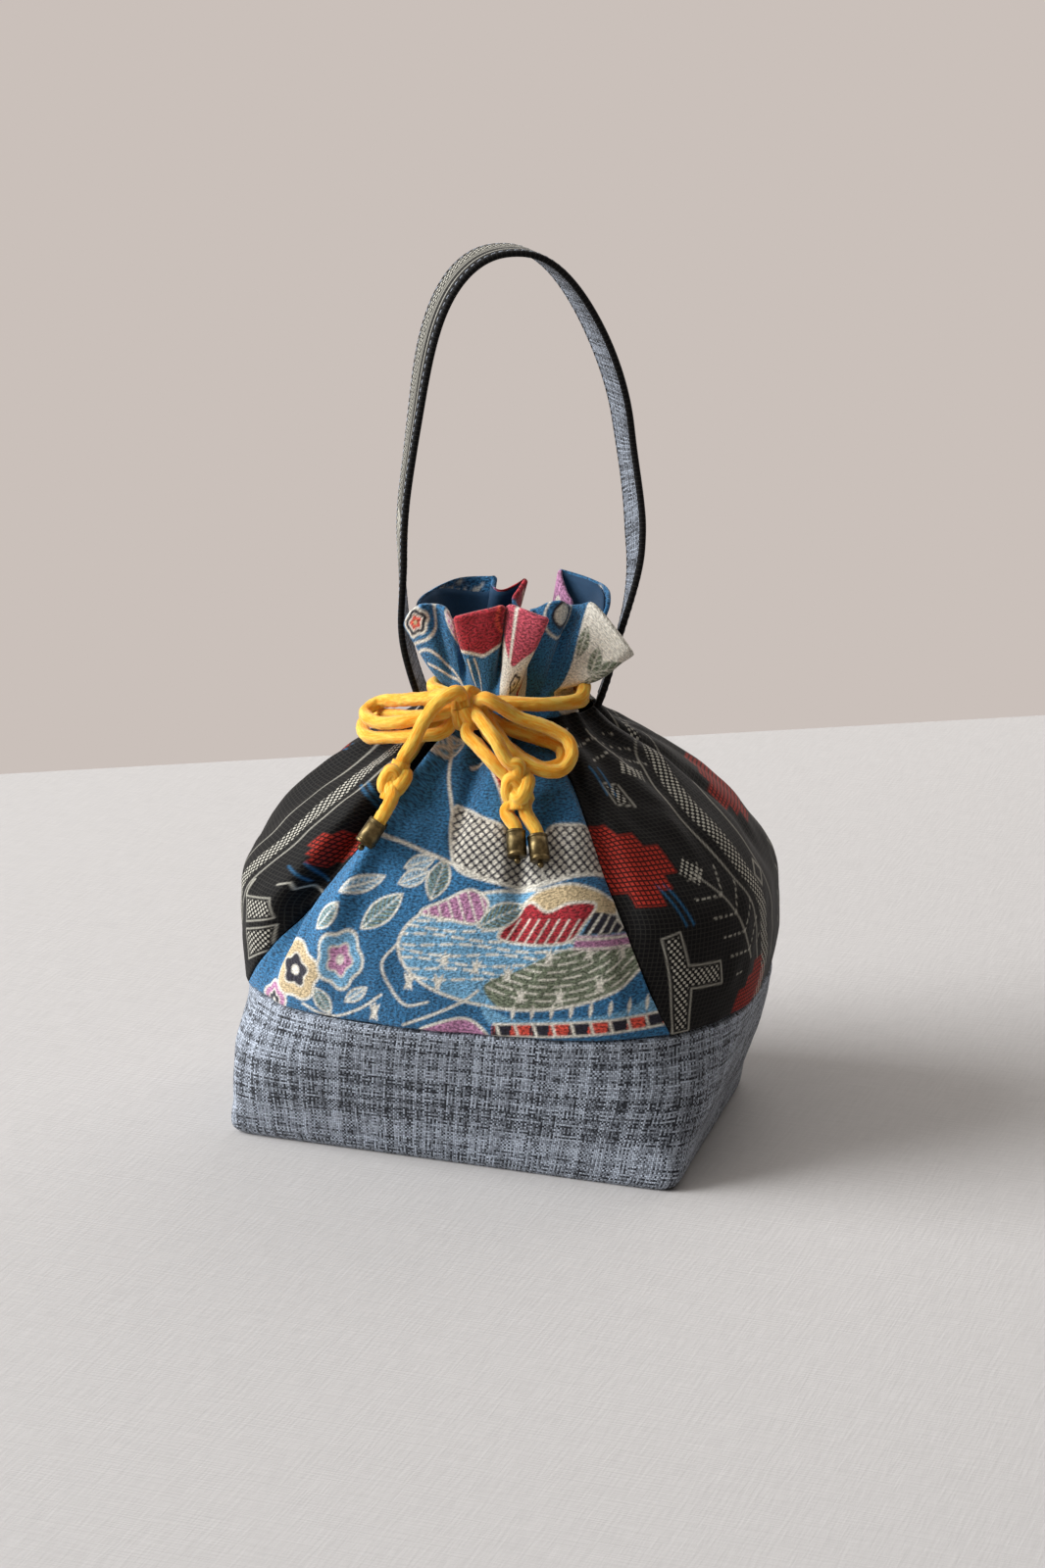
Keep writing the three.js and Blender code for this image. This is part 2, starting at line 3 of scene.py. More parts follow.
import bpy
import numpy as np
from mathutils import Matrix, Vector


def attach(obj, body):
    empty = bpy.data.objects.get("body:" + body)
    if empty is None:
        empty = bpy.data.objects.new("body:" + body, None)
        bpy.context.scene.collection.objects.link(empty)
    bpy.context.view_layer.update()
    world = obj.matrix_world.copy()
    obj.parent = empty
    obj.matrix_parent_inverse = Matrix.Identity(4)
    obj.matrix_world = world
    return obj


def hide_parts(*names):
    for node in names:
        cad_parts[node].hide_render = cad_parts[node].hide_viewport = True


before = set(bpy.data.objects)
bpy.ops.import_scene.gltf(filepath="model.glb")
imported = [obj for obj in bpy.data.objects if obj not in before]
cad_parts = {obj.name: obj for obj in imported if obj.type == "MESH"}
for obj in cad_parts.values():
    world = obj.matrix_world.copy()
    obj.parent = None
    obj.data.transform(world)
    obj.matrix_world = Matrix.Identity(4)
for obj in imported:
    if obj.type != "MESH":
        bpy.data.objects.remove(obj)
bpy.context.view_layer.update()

bl_info = {
    "name": "Drawstring handbag",
    "version": (1, 0, 0),
    "blender": (4, 5, 0),
    "location": "View3D > Sidebar > Handbag",
    "description": "Cloth, cords and metal ends of a small drawstring handbag",
    "category": "Object",
}

# Sizes in millimetres and angles in degrees, as in the part's source
MM = 0.001
BASE_WIDTH = 166
BASE_FRONT = 70
BASE_BACK = 58
BASE_TAPER = 0.001
FOOT_ROUND = 2
BAND_HEIGHT = 55
GIRTH_WIDTH = 202
GIRTH_DEPTH = 162
GIRTH_HEIGHT = 75
TWIST = 16
PANEL_FOOT_ANGLE = 57
PANEL_NECK_ANGLE = 33
PANEL_LEAN = 6
CLOTH = 1.2
GAP = 0.3
NECK_HEIGHT = 167
NECK_WIDTH = 58
NECK_DEPTH = 54
GATHER = 1.2
FOLD = 2
SEAM_TUCK = 2.5
CASING_HEIGHT = 13
FRILL_HEIGHT = 31
FRILL_WIDTH = 82
FRILL_DEPTH = 74
FRONT_BAND_ANGLE = 58
BACK_BAND_ANGLE = 60
LINING_GAP = 4
STRAP_WIDTH = 22
STRAP_LAYER = 1.6
STRAP_TOP = 329
STRAP_SPAN = 87
STRAP_MIDDLE = 222
STRAP_TOP_TURN = 37
STRAP_EASE = 0.75
STRAP_FULLNESS = 2.25
STRAP_SWAY = 3
STRAP_LEAN = 1.5
STRAP_LEAN_START = 265
CORD = 5
BOW_KNOT = 15.6
TAIL_KNOT = 12.4
CAP_DIAMETER = 7.4
CAP_LENGTH = 10
CAP_BALL = 2.4
CAP_GRIP = 5
FRILL_TOP = NECK_HEIGHT + FRILL_HEIGHT
CASING_LOW = NECK_HEIGHT - CASING_HEIGHT / 2
SHOULDER = NECK_HEIGHT - GIRTH_HEIGHT

# Camera, degrees and millimetres
VIEW_AZIMUTH = 20.2
VIEW_ELEVATION = 16
VIEW_DISTANCE = 1398
VIEW_TARGET = (4.6, 0, 127.7)
LENS = 85
SENSOR = 36

# Table top, turned so that its far edge crosses the picture behind the bag
TABLE_TURN = 32.2
TABLE_HALF = 1100
TABLE_BEHIND = 506
TABLE_BEFORE = 900

# Lamps: name, place and width in metres, watts, colour
LAMPS = (
    ("window", (-4.0, -1.7, 2.4), 3.7, 470, (0.95, 0.98, 1)),
    ("overhead", (-0.2, -0.1, 1.6), 1.8, 9, (1, 0.96, 0.92)),
    ("curtain", (0.15, 1.4, 1.0), 1.6, 13, (1, 0.97, 0.94)),
)
LAMP_AIM = (0, 0, 0.12)
ROOM_COLOUR = (1, 0.93, 0.86, 1)
ROOM_STRENGTH = 0.05


def mix(a, b, t):
    """Value at share t of the way from a to b."""
    return a + (b - a) * t


def ramp(t):
    """Eased step from 0 to 1."""
    s = np.clip(t, 0, 1)
    return s * s * (3 - 2 * s)


# Bag surface

def sections():
    """Rows of height, half width, depth in front, depth behind, squareness front and back, share of taper."""
    a, b, w = GIRTH_WIDTH / 2, GIRTH_DEPTH / 2, BASE_WIDTH / 2
    neck_a, neck_b = NECK_WIDTH / 2, NECK_DEPTH / 2
    rim_a, rim_b = FRILL_WIDTH / 2, FRILL_DEPTH / 2

    def shoulder(share, across, deep, square):
        return [GIRTH_HEIGHT + SHOULDER * share, across, deep, deep, square, square, 0]

    return np.array([
        [0, w - FOOT_ROUND, BASE_FRONT - FOOT_ROUND, BASE_BACK - FOOT_ROUND, 28, 10, 1],
        [FOOT_ROUND, w, BASE_FRONT, BASE_BACK, 28, 10, 1],
        [BAND_HEIGHT / 4, mix(w, a, 0.17), mix(BASE_FRONT, b, 0.2), mix(BASE_BACK, b, 0.22), 13, 8, 0.8],
        [BAND_HEIGHT / 2, mix(w, a, 0.45), mix(BASE_FRONT, b, 0.5), mix(BASE_BACK, b, 0.48), 6.5, 5.5, 0.5],
        [BAND_HEIGHT, a * 0.97, b * 0.993, b * 0.993, 2.8, 2.8, 0],
        shoulder(0, a, b, 2.7),
        shoulder(0.185, a * 0.995, b * 0.975, 2.7),
        shoulder(0.467, a * 0.871, b * 0.825, 2.5),
        shoulder(0.728, a * 0.594, b * 0.588, 2.3),
        shoulder(0.88, mix(neck_a, a, 0.111), mix(neck_b, b, 0.104), 2),
        [NECK_HEIGHT, neck_a, neck_b, neck_b, 2, 2, 0],
        [NECK_HEIGHT + FRILL_HEIGHT / 2, mix(neck_a, rim_a, 0.42), mix(neck_b, rim_b, 0.42),
         mix(neck_b, rim_b, 0.42), 2, 2, 0],
        [FRILL_TOP, rim_a, rim_b, rim_b, 2, 2, 0],
    ])


SECTIONS = sections()


def through(z, column):
    """Smooth curve through the sections that never overshoots."""
    height, value = SECTIONS[:, 0], SECTIONS[:, column]
    slope = np.diff(value) / np.diff(height)
    tangent = np.concatenate([slope[:1], np.zeros(len(slope) - 1), slope[-1:]])
    same = slope[:-1] * slope[1:] > 0
    total = np.where(same, slope[:-1] + slope[1:], 1)
    tangent[1:-1] = np.where(same, 2 * slope[:-1] * slope[1:] / total, 0)
    z = np.clip(z, 0, FRILL_TOP)
    i = np.clip(np.searchsorted(height, z) - 1, 0, len(height) - 2)
    step = height[i + 1] - height[i]
    t = (z - height[i]) / step
    bend = step * (tangent[i] * t * (1 - t) ** 2 - tangent[i + 1] * t * t * (1 - t))
    return value[i] + (value[i + 1] - value[i]) * t * t * (3 - 2 * t) + bend


def wrap(angle, low):
    """The same angle within a turn that starts at low."""
    return np.mod(angle - low, 360) + low


def gathers(alpha):
    """Uneven waves of the drawn-in cloth, from -1 to 1."""
    return 0.6 * np.cos(np.radians(9 * alpha + 20)) + 0.4 * np.cos(np.radians(13 * alpha - 50))


def panel_drop(z):
    """Share of the way down from the neck to the base seam."""
    return np.clip((NECK_HEIGHT - z) / (NECK_HEIGHT - BAND_HEIGHT), 0, 1)


def panel_angle(z):
    """Half angle of the front and back panels."""
    return mix(PANEL_NECK_ANGLE, PANEL_FOOT_ANGLE, panel_drop(z) ** 2)


def panel_turn(z):
    """Angle by which all four panels turn to the left towards the base seam."""
    return -PANEL_LEAN * panel_drop(z)


# Waves of the shoulder: where they start, rise and fade, as shares of its height
GATHER_START = 0.4
FOLD_START = 0.25
FOLD_RISE = 0.5
FOLD_END = 0.95
FOLD_FADE = 0.2

# Tuck at the panels' seams: share of the shoulder over which it fades, and its spread in degrees
TUCK_FADE = 0.3
TUCK_SPREAD = 5


def cloth(alpha, z, inset=0.0):
    """Point of the cloth: alpha in degrees from the front (right side +90), drawn in by inset."""
    alpha, z = np.broadcast_arrays(np.asarray(alpha, float), np.asarray(z, float))
    t = np.radians(alpha - 90)
    front = np.sin(t) < 0
    deep = np.where(front, through(z, 2), through(z, 3))
    square = np.where(front, through(z, 4), through(z, 5))
    across = np.abs(np.cos(t)) / through(z, 1)
    r = (across ** square + (np.abs(np.sin(t)) / deep) ** square) ** (-1 / square)
    above = (z - GIRTH_HEIGHT) / SHOULDER
    r = r + GATHER * gathers(alpha) * ramp((above - GATHER_START) / (1 - GATHER_START))
    folded = ramp((FOLD_END - above) / FOLD_FADE)
    r += FOLD * gathers(alpha) * ramp((above - FOLD_START) / FOLD_RISE) * folded
    seam = np.abs(90 - np.abs(wrap(alpha - panel_turn(z), -180))) - (90 - panel_angle(z))
    tuck = ramp((z - BAND_HEIGHT) / (GIRTH_HEIGHT - BAND_HEIGHT)) * ramp((1 - above) / TUCK_FADE)
    r -= SEAM_TUCK * tuck * np.exp(-seam ** 2 / TUCK_SPREAD ** 2)
    r -= inset
    y = r * np.sin(t)
    x = r * np.cos(t) * (1 - BASE_TAPER * through(z, 6) * y)
    turn = np.radians(TWIST * np.minimum(z / NECK_HEIGHT, 1))
    return np.stack([x * np.cos(turn) - y * np.sin(turn), x * np.sin(turn) + y * np.cos(turn), z], -1)


def unit(v):
    """Vectors of length one."""
    return v / np.linalg.norm(v, axis=-1, keepdims=True)


def cloth_normal(alpha, z, step=0.2):
    """Outward direction of the cloth."""
    along = cloth(alpha + step, z) - cloth(alpha - step, z)
    up = cloth(alpha, z + step) - cloth(alpha, z - step)
    return unit(np.cross(along, up))


def grid_normals(points):
    """Outward normals of a grid whose rows go up and whose columns go round to the right."""
    return unit(np.cross(np.gradient(points, axis=1), np.gradient(points, axis=0)))


def value_noise(x, y, seed):
    """Smooth seeded noise from -1 to 1, one lattice cell per unit."""
    cells = 256
    table = np.random.default_rng(seed).uniform(-1, 1, (cells, cells))
    i, j = np.floor(x).astype(int), np.floor(y).astype(int)
    s, t = ramp(x - i), ramp(y - j)
    left, right, foot, head = i % cells, (i + 1) % cells, j % cells, (j + 1) % cells
    low = mix(table[left, foot], table[right, foot], s)
    high = mix(table[left, head], table[right, head], s)
    return mix(low, high, t)


# Sizes and colours that a user may change

def colour_setting(label, text, rgb):
    """A colour that a user may change, from parts of 0 to 255."""
    return bpy.props.FloatVectorProperty(
        name=label, description=text, default=[c / 255 for c in rgb], min=0, max=1, subtype="COLOR_GAMMA")


def length_setting(label, text, metres):
    """A length that a user may change."""
    return bpy.props.FloatProperty(
        name=label, description=text, default=metres, min=0.00005, precision=5, unit="LENGTH")


class HandbagColours(bpy.types.PropertyGroup):
    """Colours of the cloths, cords and metal"""
    blue: colour_setting("Blue ground", "Ground of the printed crepe", (48, 106, 148))
    sky: colour_setting("Light blue", "Lighter blue of the print", (112, 164, 198))
    cream: colour_setting("Cream", "Outlines and pale shapes of the print", (232, 225, 211))
    leaf: colour_setting("Grey green", "Leaves and hills of the print", (118, 126, 104))
    mauve: colour_setting("Mauve", "Pale purple of the print", (186, 128, 164))
    red: colour_setting("Red", "Dark red of the print", (160, 36, 46))
    rose: colour_setting("Rose", "Pinkish red of the print", (198, 82, 98))
    coral: colour_setting("Coral", "Bright red of the print", (214, 78, 62))
    navy: colour_setting("Navy", "Darkest colour of the print", (30, 28, 42))
    beige: colour_setting("Beige", "Flower petals of the print", (206, 182, 142))
    dark: colour_setting("Dark cloth", "Ground of the side cloth and strap", (14, 13, 14))
    rust: colour_setting("Rust", "Stepped figures of the side cloth", (178, 54, 42))
    thread: colour_setting("Pale thread", "Dots and lines of the side cloth", (198, 193, 180))
    charcoal: colour_setting("Charcoal yarn", "Dark yarn of the slub cloth", (28, 31, 39))
    silver: colour_setting("Pale yarn", "Pale yarn of the slub cloth", (198, 206, 220))
    teal: colour_setting("Lining", "Plain lining cloth", (14, 58, 90))
    yellow: colour_setting("Cord", "Soft spun cord", (255, 196, 64))
    brass: colour_setting("Brass", "Antique cord ends", (100, 86, 58))
    floor: colour_setting("Floor", "Pale table cloth", (194, 190, 188))
    wall: colour_setting("Wall", "Pale wall behind the table", (202, 192, 186))


class HandbagSizes(bpy.types.PropertyGroup):
    """Sizes of the sewing and weaving"""
    stitch: length_setting("Stitch", "Length of one strap stitch", 0.0021)
    stitch_gap: length_setting("Stitch gap", "Space between two stitches", 0.0008)
    stitch_thick: length_setting("Thread", "Thickness of the sewing thread", 0.0005)
    stitch_edge: length_setting("Stitch margin", "Distance of the stitches from the strap's edge", 0.0019)
    yarn: length_setting("Yarn", "Pitch of the slub cloth's yarns", 0.00076)
    seam: length_setting("Seam roll", "Radius of the cloth's turned edges", 0.0022)


def tone(name):
    """Linear colour of a setting, without alpha."""
    value = np.array(getattr(bpy.context.scene.handbag_colours, name)[:])
    return np.where(value <= 0.04045, value / 12.92, ((value + 0.055) / 1.055) ** 2.4)


def size(name):
    """A length setting in millimetres."""
    return getattr(bpy.context.scene.handbag_sizes, name) / MM


# Meshes

def make_object(name, points, faces, surface, uv=None, values=None):
    """Smooth mesh object from millimetre points; uv is one pair per point or one per face corner."""
    mesh = bpy.data.meshes.new(name)
    mesh.from_pydata((np.asarray(points) * MM).tolist(), [], faces)
    mesh.polygons.foreach_set("use_smooth", np.ones(len(mesh.polygons), bool))
    if uv is not None:
        corner = np.empty(len(mesh.loops), int)
        mesh.loops.foreach_get("vertex_index", corner)
        pairs = np.asarray(uv, float) * MM
        layer = mesh.uv_layers.new(name="cloth")
        layer.data.foreach_set("uv", (pairs[corner] if len(pairs) == len(points) else pairs).ravel())
    for label, data in (values or {}).items():
        if np.ndim(data) == 1:
            mesh.attributes.new(label, "FLOAT", "POINT").data.foreach_set("value", np.asarray(data, float))
        else:
            rgba = np.concatenate([data, np.ones((len(data), 1))], 1)
            mesh.attributes.new(label, "FLOAT_COLOR", "POINT").data.foreach_set("color", rgba.ravel())
    mesh.materials.append(surface)
    piece = bpy.data.objects.new(name, mesh)
    bpy.context.collection.objects.link(piece)
    return piece


def grid_faces(rows, cols, start=0, flip=False, closed=False):
    """Quads of a grid of points; a closed one joins its last column to its first."""
    i, j = np.meshgrid(np.arange(rows - 1), np.arange(cols if closed else cols - 1), indexing="ij")
    k = (j + 1) % cols
    quads = np.stack([i * cols + j, i * cols + k, (i + 1) * cols + k, (i + 1) * cols + j], -1)
    quads = quads.reshape(-1, 4)
    return ((quads[:, ::-1] if flip else quads) + start).tolist()


def closed_rings(rings, first, last):
    """Points and faces of a row of closed rings with a point at each end."""
    count = rings.shape[1]
    points = np.concatenate([rings.reshape(-1, 3), [first], [last]])
    faces = grid_faces(len(rings), count, closed=True)
    total = len(rings) * count
    for j in range(count):
        k = (j + 1) % count
        faces.append([k, j, total])
        faces.append([total - count + j, total - count + k, total + 1])
    return points, faces


def run_length(points):
    """Distance of each point along a line from its start."""
    return np.concatenate([[0], np.cumsum(np.linalg.norm(np.diff(points, axis=0), axis=1))])


# Cells of the outer grid to one of the inner
COARSE = 3


def sheet_object(name, outer, inner, surface, uv, values):
    """Closed sheet of cloth: a fine outer grid, a coarser inner one and the edge that joins them."""
    rows, cols = outer.shape[:2]
    inner = inner[::COARSE, ::COARSE]
    low_rows, low_cols = inner.shape[:2]
    start = rows * cols
    faces = grid_faces(rows, cols) + grid_faces(low_rows, low_cols, start, flip=True)

    def edge(fine, coarse):
        for k in range(len(coarse) - 1):
            strip = fine[k * COARSE:k * COARSE + COARSE + 1]
            faces.append([int(v) for v in (*strip[::-1], coarse[k], coarse[k + 1])])

    fine = np.arange(start).reshape(rows, cols)
    low = np.arange(low_rows * low_cols).reshape(low_rows, low_cols) + start
    edge(fine[0], low[0])
    edge(fine[-1, ::-1], low[-1, ::-1])
    edge(fine[::-1, 0], low[::-1, 0])
    edge(fine[:, -1], low[:, -1])
    points = np.concatenate([outer.reshape(-1, 3), inner.reshape(-1, 3)])

    def both(data):
        data = data.reshape(rows, cols, -1)
        pair = np.concatenate([data.reshape(start, -1), data[::COARSE, ::COARSE].reshape(low.size, -1)])
        return pair[:, 0] if pair.shape[1] == 1 else pair

    return make_object(name, points, faces, surface, both(uv), {k: both(v) for k, v in values.items()})


def arc_lengths(points):
    """Distance across each row from its middle and distance up the middle column."""
    rows, cols = points.shape[:2]
    across = np.zeros((rows, cols))
    across[:, 1:] = np.cumsum(np.linalg.norm(np.diff(points, axis=1), axis=2), axis=1)
    across -= across[:, cols // 2, None]
    up = run_length(points[:, cols // 2])
    return across, np.broadcast_to(up[:, None], (rows, cols))


# Depth of a turned edge as a share of its radius
ROLL_DEPTH = 0.8


def edge_roll(distance, radius):
    """How far the cloth turns in at a distance from a seam."""
    t = np.clip(1 - distance / radius, 0, 1)
    return radius * (1 - np.sqrt(1 - t * t)) * ROLL_DEPTH


def smooth_line(points, spacing):
    """Smooth curve through given points (centripetal Catmull-Rom), resampled evenly."""
    steps = 24
    p = np.asarray(points, float)
    p = np.concatenate([[2 * p[0] - p[1]], p, [2 * p[-1] - p[-2]]])
    knots = np.concatenate([[0], np.cumsum(np.linalg.norm(np.diff(p, axis=0), axis=1) ** 0.5)])
    out = []
    for i in range(1, len(p) - 2):
        t0, t1, t2, t3 = knots[i - 1:i + 3]
        t = np.linspace(t1, t2, steps, endpoint=i == len(p) - 3)[:, None]
        a1 = mix(p[i - 1], p[i], (t - t0) / (t1 - t0))
        a2 = mix(p[i], p[i + 1], (t - t1) / (t2 - t1))
        a3 = mix(p[i + 1], p[i + 2], (t - t2) / (t3 - t2))
        b1 = mix(a1, a2, (t - t0) / (t2 - t0))
        b2 = mix(a2, a3, (t - t1) / (t3 - t1))
        out.append(mix(b1, b2, (t - t1) / (t2 - t1)))
    line = np.concatenate(out)
    run = run_length(line)
    even = np.linspace(0, run[-1], max(int(run[-1] / spacing), 2) + 1)
    return np.stack([np.interp(even, run, line[:, k]) for k in range(line.shape[1])], -1)


# Materials: texture scales are in cells to the metre, bump heights and pitches in metres

class Shader:
    """A node material with a Principled shader and short ways to add nodes."""

    def __init__(self, name, **constants):
        self.material = bpy.data.materials.new(name)
        self.material.use_nodes = True
        self.tree = self.material.node_tree
        self.main = self.tree.nodes["Principled BSDF"]
        for socket, value in constants.items():
            self.main.inputs[socket.replace("_", " ")].default_value = value

    def add(self, kind, inputs=None, output=0, **settings):
        """Output of a new node, whose inputs are values or other outputs."""
        node = self.tree.nodes.new(kind)
        for key, value in settings.items():
            setattr(node, key, value)
        for socket, value in (inputs or {}).items():
            self.put(node.inputs[socket], value)
        return node.outputs[output]

    def put(self, socket, value):
        """Links an output to a socket, or sets the socket's value."""
        if isinstance(value, bpy.types.NodeSocket):
            self.tree.links.new(value, socket)
        elif hasattr(value, "__len__") and len(value) == 3 and len(socket.default_value) == 4:
            socket.default_value = (*value, 1)
        else:
            socket.default_value = value

    def math(self, operation, a, b=0.0, c=0.0):
        return self.add("ShaderNodeMath", {0: a, 1: b, 2: c}, operation=operation)

    def blend(self, share, a, b, mode="MIX"):
        return self.add("ShaderNodeMix", {0: share, 6: a, 7: b}, 2, data_type="RGBA", blend_type=mode)

    def uv(self):
        return self.add("ShaderNodeUVMap", uv_map="cloth")

    def scaled(self, vector, scale):
        return self.add("ShaderNodeMapping", {"Vector": vector, "Scale": scale})

    def noise(self, vector, scale, detail=2.0, rough=0.5):
        inputs = {"Vector": vector, "Scale": scale, "Detail": detail, "Roughness": rough}
        return self.add("ShaderNodeTexNoise", inputs)

    def range(self, value, low, high, to_low=0.0, to_high=1.0):
        return self.add("ShaderNodeMapRange", {0: value, 1: low, 2: high, 3: to_low, 4: to_high})

    def attribute(self, name, output=0):
        return self.add("ShaderNodeAttribute", attribute_name=name, output=output)

    def bump(self, height, distance, strength):
        inputs = {"Height": height, "Distance": distance, "Strength": strength}
        return self.add("ShaderNodeBump", inputs)

    def finish(self, colour, normal, rough=None):
        """Connects the shader and hands back its material."""
        self.put(self.main.inputs["Base Color"], colour)
        self.put(self.main.inputs["Normal"], normal)
        if rough is not None:
            self.put(self.main.inputs["Roughness"], rough)
        return self.material


def crepe_material():
    """Printed crepe: the print is an attribute, with short crinkles across the cloth whose highlights and
    shade are also painted into the colour.
    """
    s = Shader("printed_crepe", Roughness=0.85, Sheen_Weight=0.2, Sheen_Roughness=0.5,
               Specular_IOR_Level=0.25)
    uv = s.uv()
    crinkle = s.noise(s.scaled(uv, (780, 1400, 1)), 1, 1.0, 0.5)
    weave = s.noise(s.scaled(uv, (1900, 3000, 1)), 1, 1)
    height = s.math("MULTIPLY_ADD", weave, 0.3, crinkle)
    # Painted highlight and shade: crinkle ridges lighter and hollows darker, from the same height as the bump
    shade = s.range(height, 0.48, 0.82, 0.38, 1.6)
    fade = s.range(s.noise(uv, 60, 2), 0.3, 0.7, 0.9, 1.06)
    dye = s.attribute("print")
    # Share of the painted crinkle light and shade, with the random fade, weaker on pale parts of the print
    crinkle_light_share = s.range(s.add("ShaderNodeRGBToBW", {0: dye}), 0.15, 0.6, 1, 0.5)
    colour = s.blend(crinkle_light_share, dye, s.math("MULTIPLY", shade, fade), "MULTIPLY")
    return s.finish(colour, s.bump(height, 0.0008, 0.8))


def dark_woven_material():
    """Dark woven cloth: a fine grid, with dotted and checked figures where the attributes say so."""
    s = Shader("dark_woven", Roughness=0.65, Sheen_Weight=0.04, Sheen_Roughness=0.4,
               Specular_IOR_Level=0.08)
    uv = s.uv()
    parts = s.tree.nodes.new("ShaderNodeSeparateXYZ")
    s.put(parts.inputs[0], uv)

    def wave(axis, pitch):
        return s.math("SINE", s.math("MULTIPLY", parts.outputs[axis], 2 * math.pi / pitch))

    dot_pitch, mesh_pitch = 0.0025, 0.0018
    checks = s.math("MULTIPLY", wave(0, dot_pitch), wave(1, dot_pitch))
    dots = s.math("MULTIPLY", s.range(checks, 0.05, 0.35), s.attribute("dots", 2))
    mesh = s.math("MAXIMUM", wave(0, mesh_pitch), wave(1, mesh_pitch))
    ground = s.blend(s.range(mesh, 0.6, 1.0, 0, 0.035), s.attribute("print"), tone("thread"))
    grid = s.math("MULTIPLY", s.range(mesh, 0.2, 0.75, 0, 0.9), s.attribute("figure", 2))
    ground = s.blend(grid, ground, tuple(tone("dark") * 0.6))
    colour = s.blend(dots, ground, tone("thread"))
    rib = s.noise(s.scaled(uv, (900, 2400, 1)), 1, 1.5)
    height = s.math("MULTIPLY_ADD", mesh, 0.2, rib)
    colour = s.blend(1, colour, s.range(rib, 0.3, 0.7, 0.7, 1.2), "MULTIPLY")
    return s.finish(colour, s.bump(height, 0.0004, 0.4))


def slub_material():
    """Grey cloth woven from dark and pale yarns of uneven thickness, with painted shade towards each yarn's
    edges.
    """
    s = Shader("grey_slub", Roughness=0.88, Sheen_Weight=0.15, Sheen_Roughness=0.5, Specular_IOR_Level=0.25)
    uv = s.uv()
    wavy = s.noise(uv, 90, 1)
    parts = s.tree.nodes.new("ShaderNodeSeparateXYZ")
    s.put(parts.inputs[0], uv)
    pitch = 1 / (size("yarn") * MM)
    bent = s.range(wavy, 0, 1, -0.6, 0.6)
    u = s.math("MULTIPLY_ADD", parts.outputs[0], pitch, bent)
    v = s.math("MULTIPLY_ADD", parts.outputs[1], pitch, bent)

    def yarns(across, along, seed):
        """Tone, roundness and number of each yarn of one set."""
        yarn_apart, slub_stretch = 7.31, 0.15
        index = s.math("FLOOR", across)
        row = s.math("MULTIPLY", index, yarn_apart)
        run = s.math("MULTIPLY", along, slub_stretch)
        place = s.add("ShaderNodeCombineXYZ", {0: row, 1: run, 2: seed})
        slub = s.noise(place, 1, 3, 0.8)
        own = s.add("ShaderNodeTexWhiteNoise", {"W": s.math("ADD", index, seed * 100)}, noise_dimensions="1D")
        round_off = s.math("SINE", s.math("MULTIPLY", s.math("FRACT", across), math.pi))
        return s.math("MULTIPLY_ADD", slub, 1.7, s.math("MULTIPLY", own, 0.5)), round_off, index

    warp, warp_round, warp_index = yarns(u, v, 3.7)
    weft, weft_round, weft_index = yarns(v, u, 9.2)
    over = s.math("MODULO", s.math("ABSOLUTE", s.math("ADD", warp_index, weft_index)), 2)
    tone_value = s.add("ShaderNodeMix", {0: over, 2: warp, 3: weft})
    height = s.add("ShaderNodeMix", {0: over, 2: warp_round, 3: weft_round})
    share = s.range(tone_value, 0.88, 1.42, 0, 1)
    colour = s.blend(share, tone("charcoal"), tone("silver"))
    # Painted shade: each yarn darker towards its edges, as its roundness would shade it, besides the bump
    colour = s.blend(1, colour, s.range(height, 0, 0.8, 0.3, 1.08), "MULTIPLY")
    return s.finish(colour, s.bump(height, 0.0003, 0.6))


def lining_material():
    """Plain woven lining."""
    s = Shader("lining_weave", Roughness=0.8, Sheen_Weight=0.2, Sheen_Roughness=0.5, Specular_IOR_Level=0.3)
    uv = s.uv()
    weave = s.noise(s.scaled(uv, (2200, 1500, 1)), 1, 1.5)
    fade = s.range(s.noise(uv, 55, 2), 0.3, 0.7, 0.8, 1.15)
    shade = s.math("MULTIPLY", fade, s.range(weave, 0.3, 0.7, 0.85, 1.12))
    colour = s.blend(1, tone("teal"), shade, "MULTIPLY")
    return s.finish(colour, s.bump(weave, 0.0003, 0.4))


def cord_material():
    """Soft spun cord: fibres run along it with a slow twist, in streaks whose pale and deep tones are partly
    the yarn's own and partly painted highlight and shade.
    """
    s = Shader("spun_cord", Roughness=0.9, Sheen_Weight=0.35, Sheen_Roughness=0.35, Specular_IOR_Level=0.2,
               Subsurface_Weight=0.15, Subsurface_Scale=0.0015)
    uv = s.uv()
    turned = s.add("ShaderNodeMapping", {"Vector": uv, "Rotation": (0, 0, 0.25), "Scale": (210, 1500, 1)})
    fibre = s.noise(turned, 1, 4, 0.75)
    clump = s.noise(s.scaled(uv, (110, 380, 1)), 1, 2)
    share = s.math("MULTIPLY_ADD", fibre, 0.6, s.math("MULTIPLY", clump, 0.4))
    # Deep and pale fibre tones: partly the yarn's own colour, partly painted shade between fibres and painted
    # highlight on them
    deep = tuple(tone("yellow") * np.array([0.95, 0.64, 0.35]))
    pale = tuple(np.minimum(tone("yellow") * np.array([1.02, 1.2, 2.2]), 1))
    colour = s.blend(s.range(share, 0.41, 0.59), deep, pale)
    return s.finish(colour, s.bump(share, 0.0014, 0.85))


def brass_material():
    """Antique brass: darker in patches, with fine scratches."""
    s = Shader("antique_brass", Metallic=1.0, Roughness=0.4)
    place = s.add("ShaderNodeTexCoord", output=3)
    patch = s.noise(place, 420, 3)
    fine = s.noise(place, 2600, 2)
    brass = tone("brass")
    colour = s.blend(s.range(patch, 0.38, 0.66), tuple(brass * 0.45), tuple(brass * 1.1))
    return s.finish(colour, s.bump(fine, 0.0001, 0.25), s.range(patch, 0.3, 0.7, 0.5, 0.3))


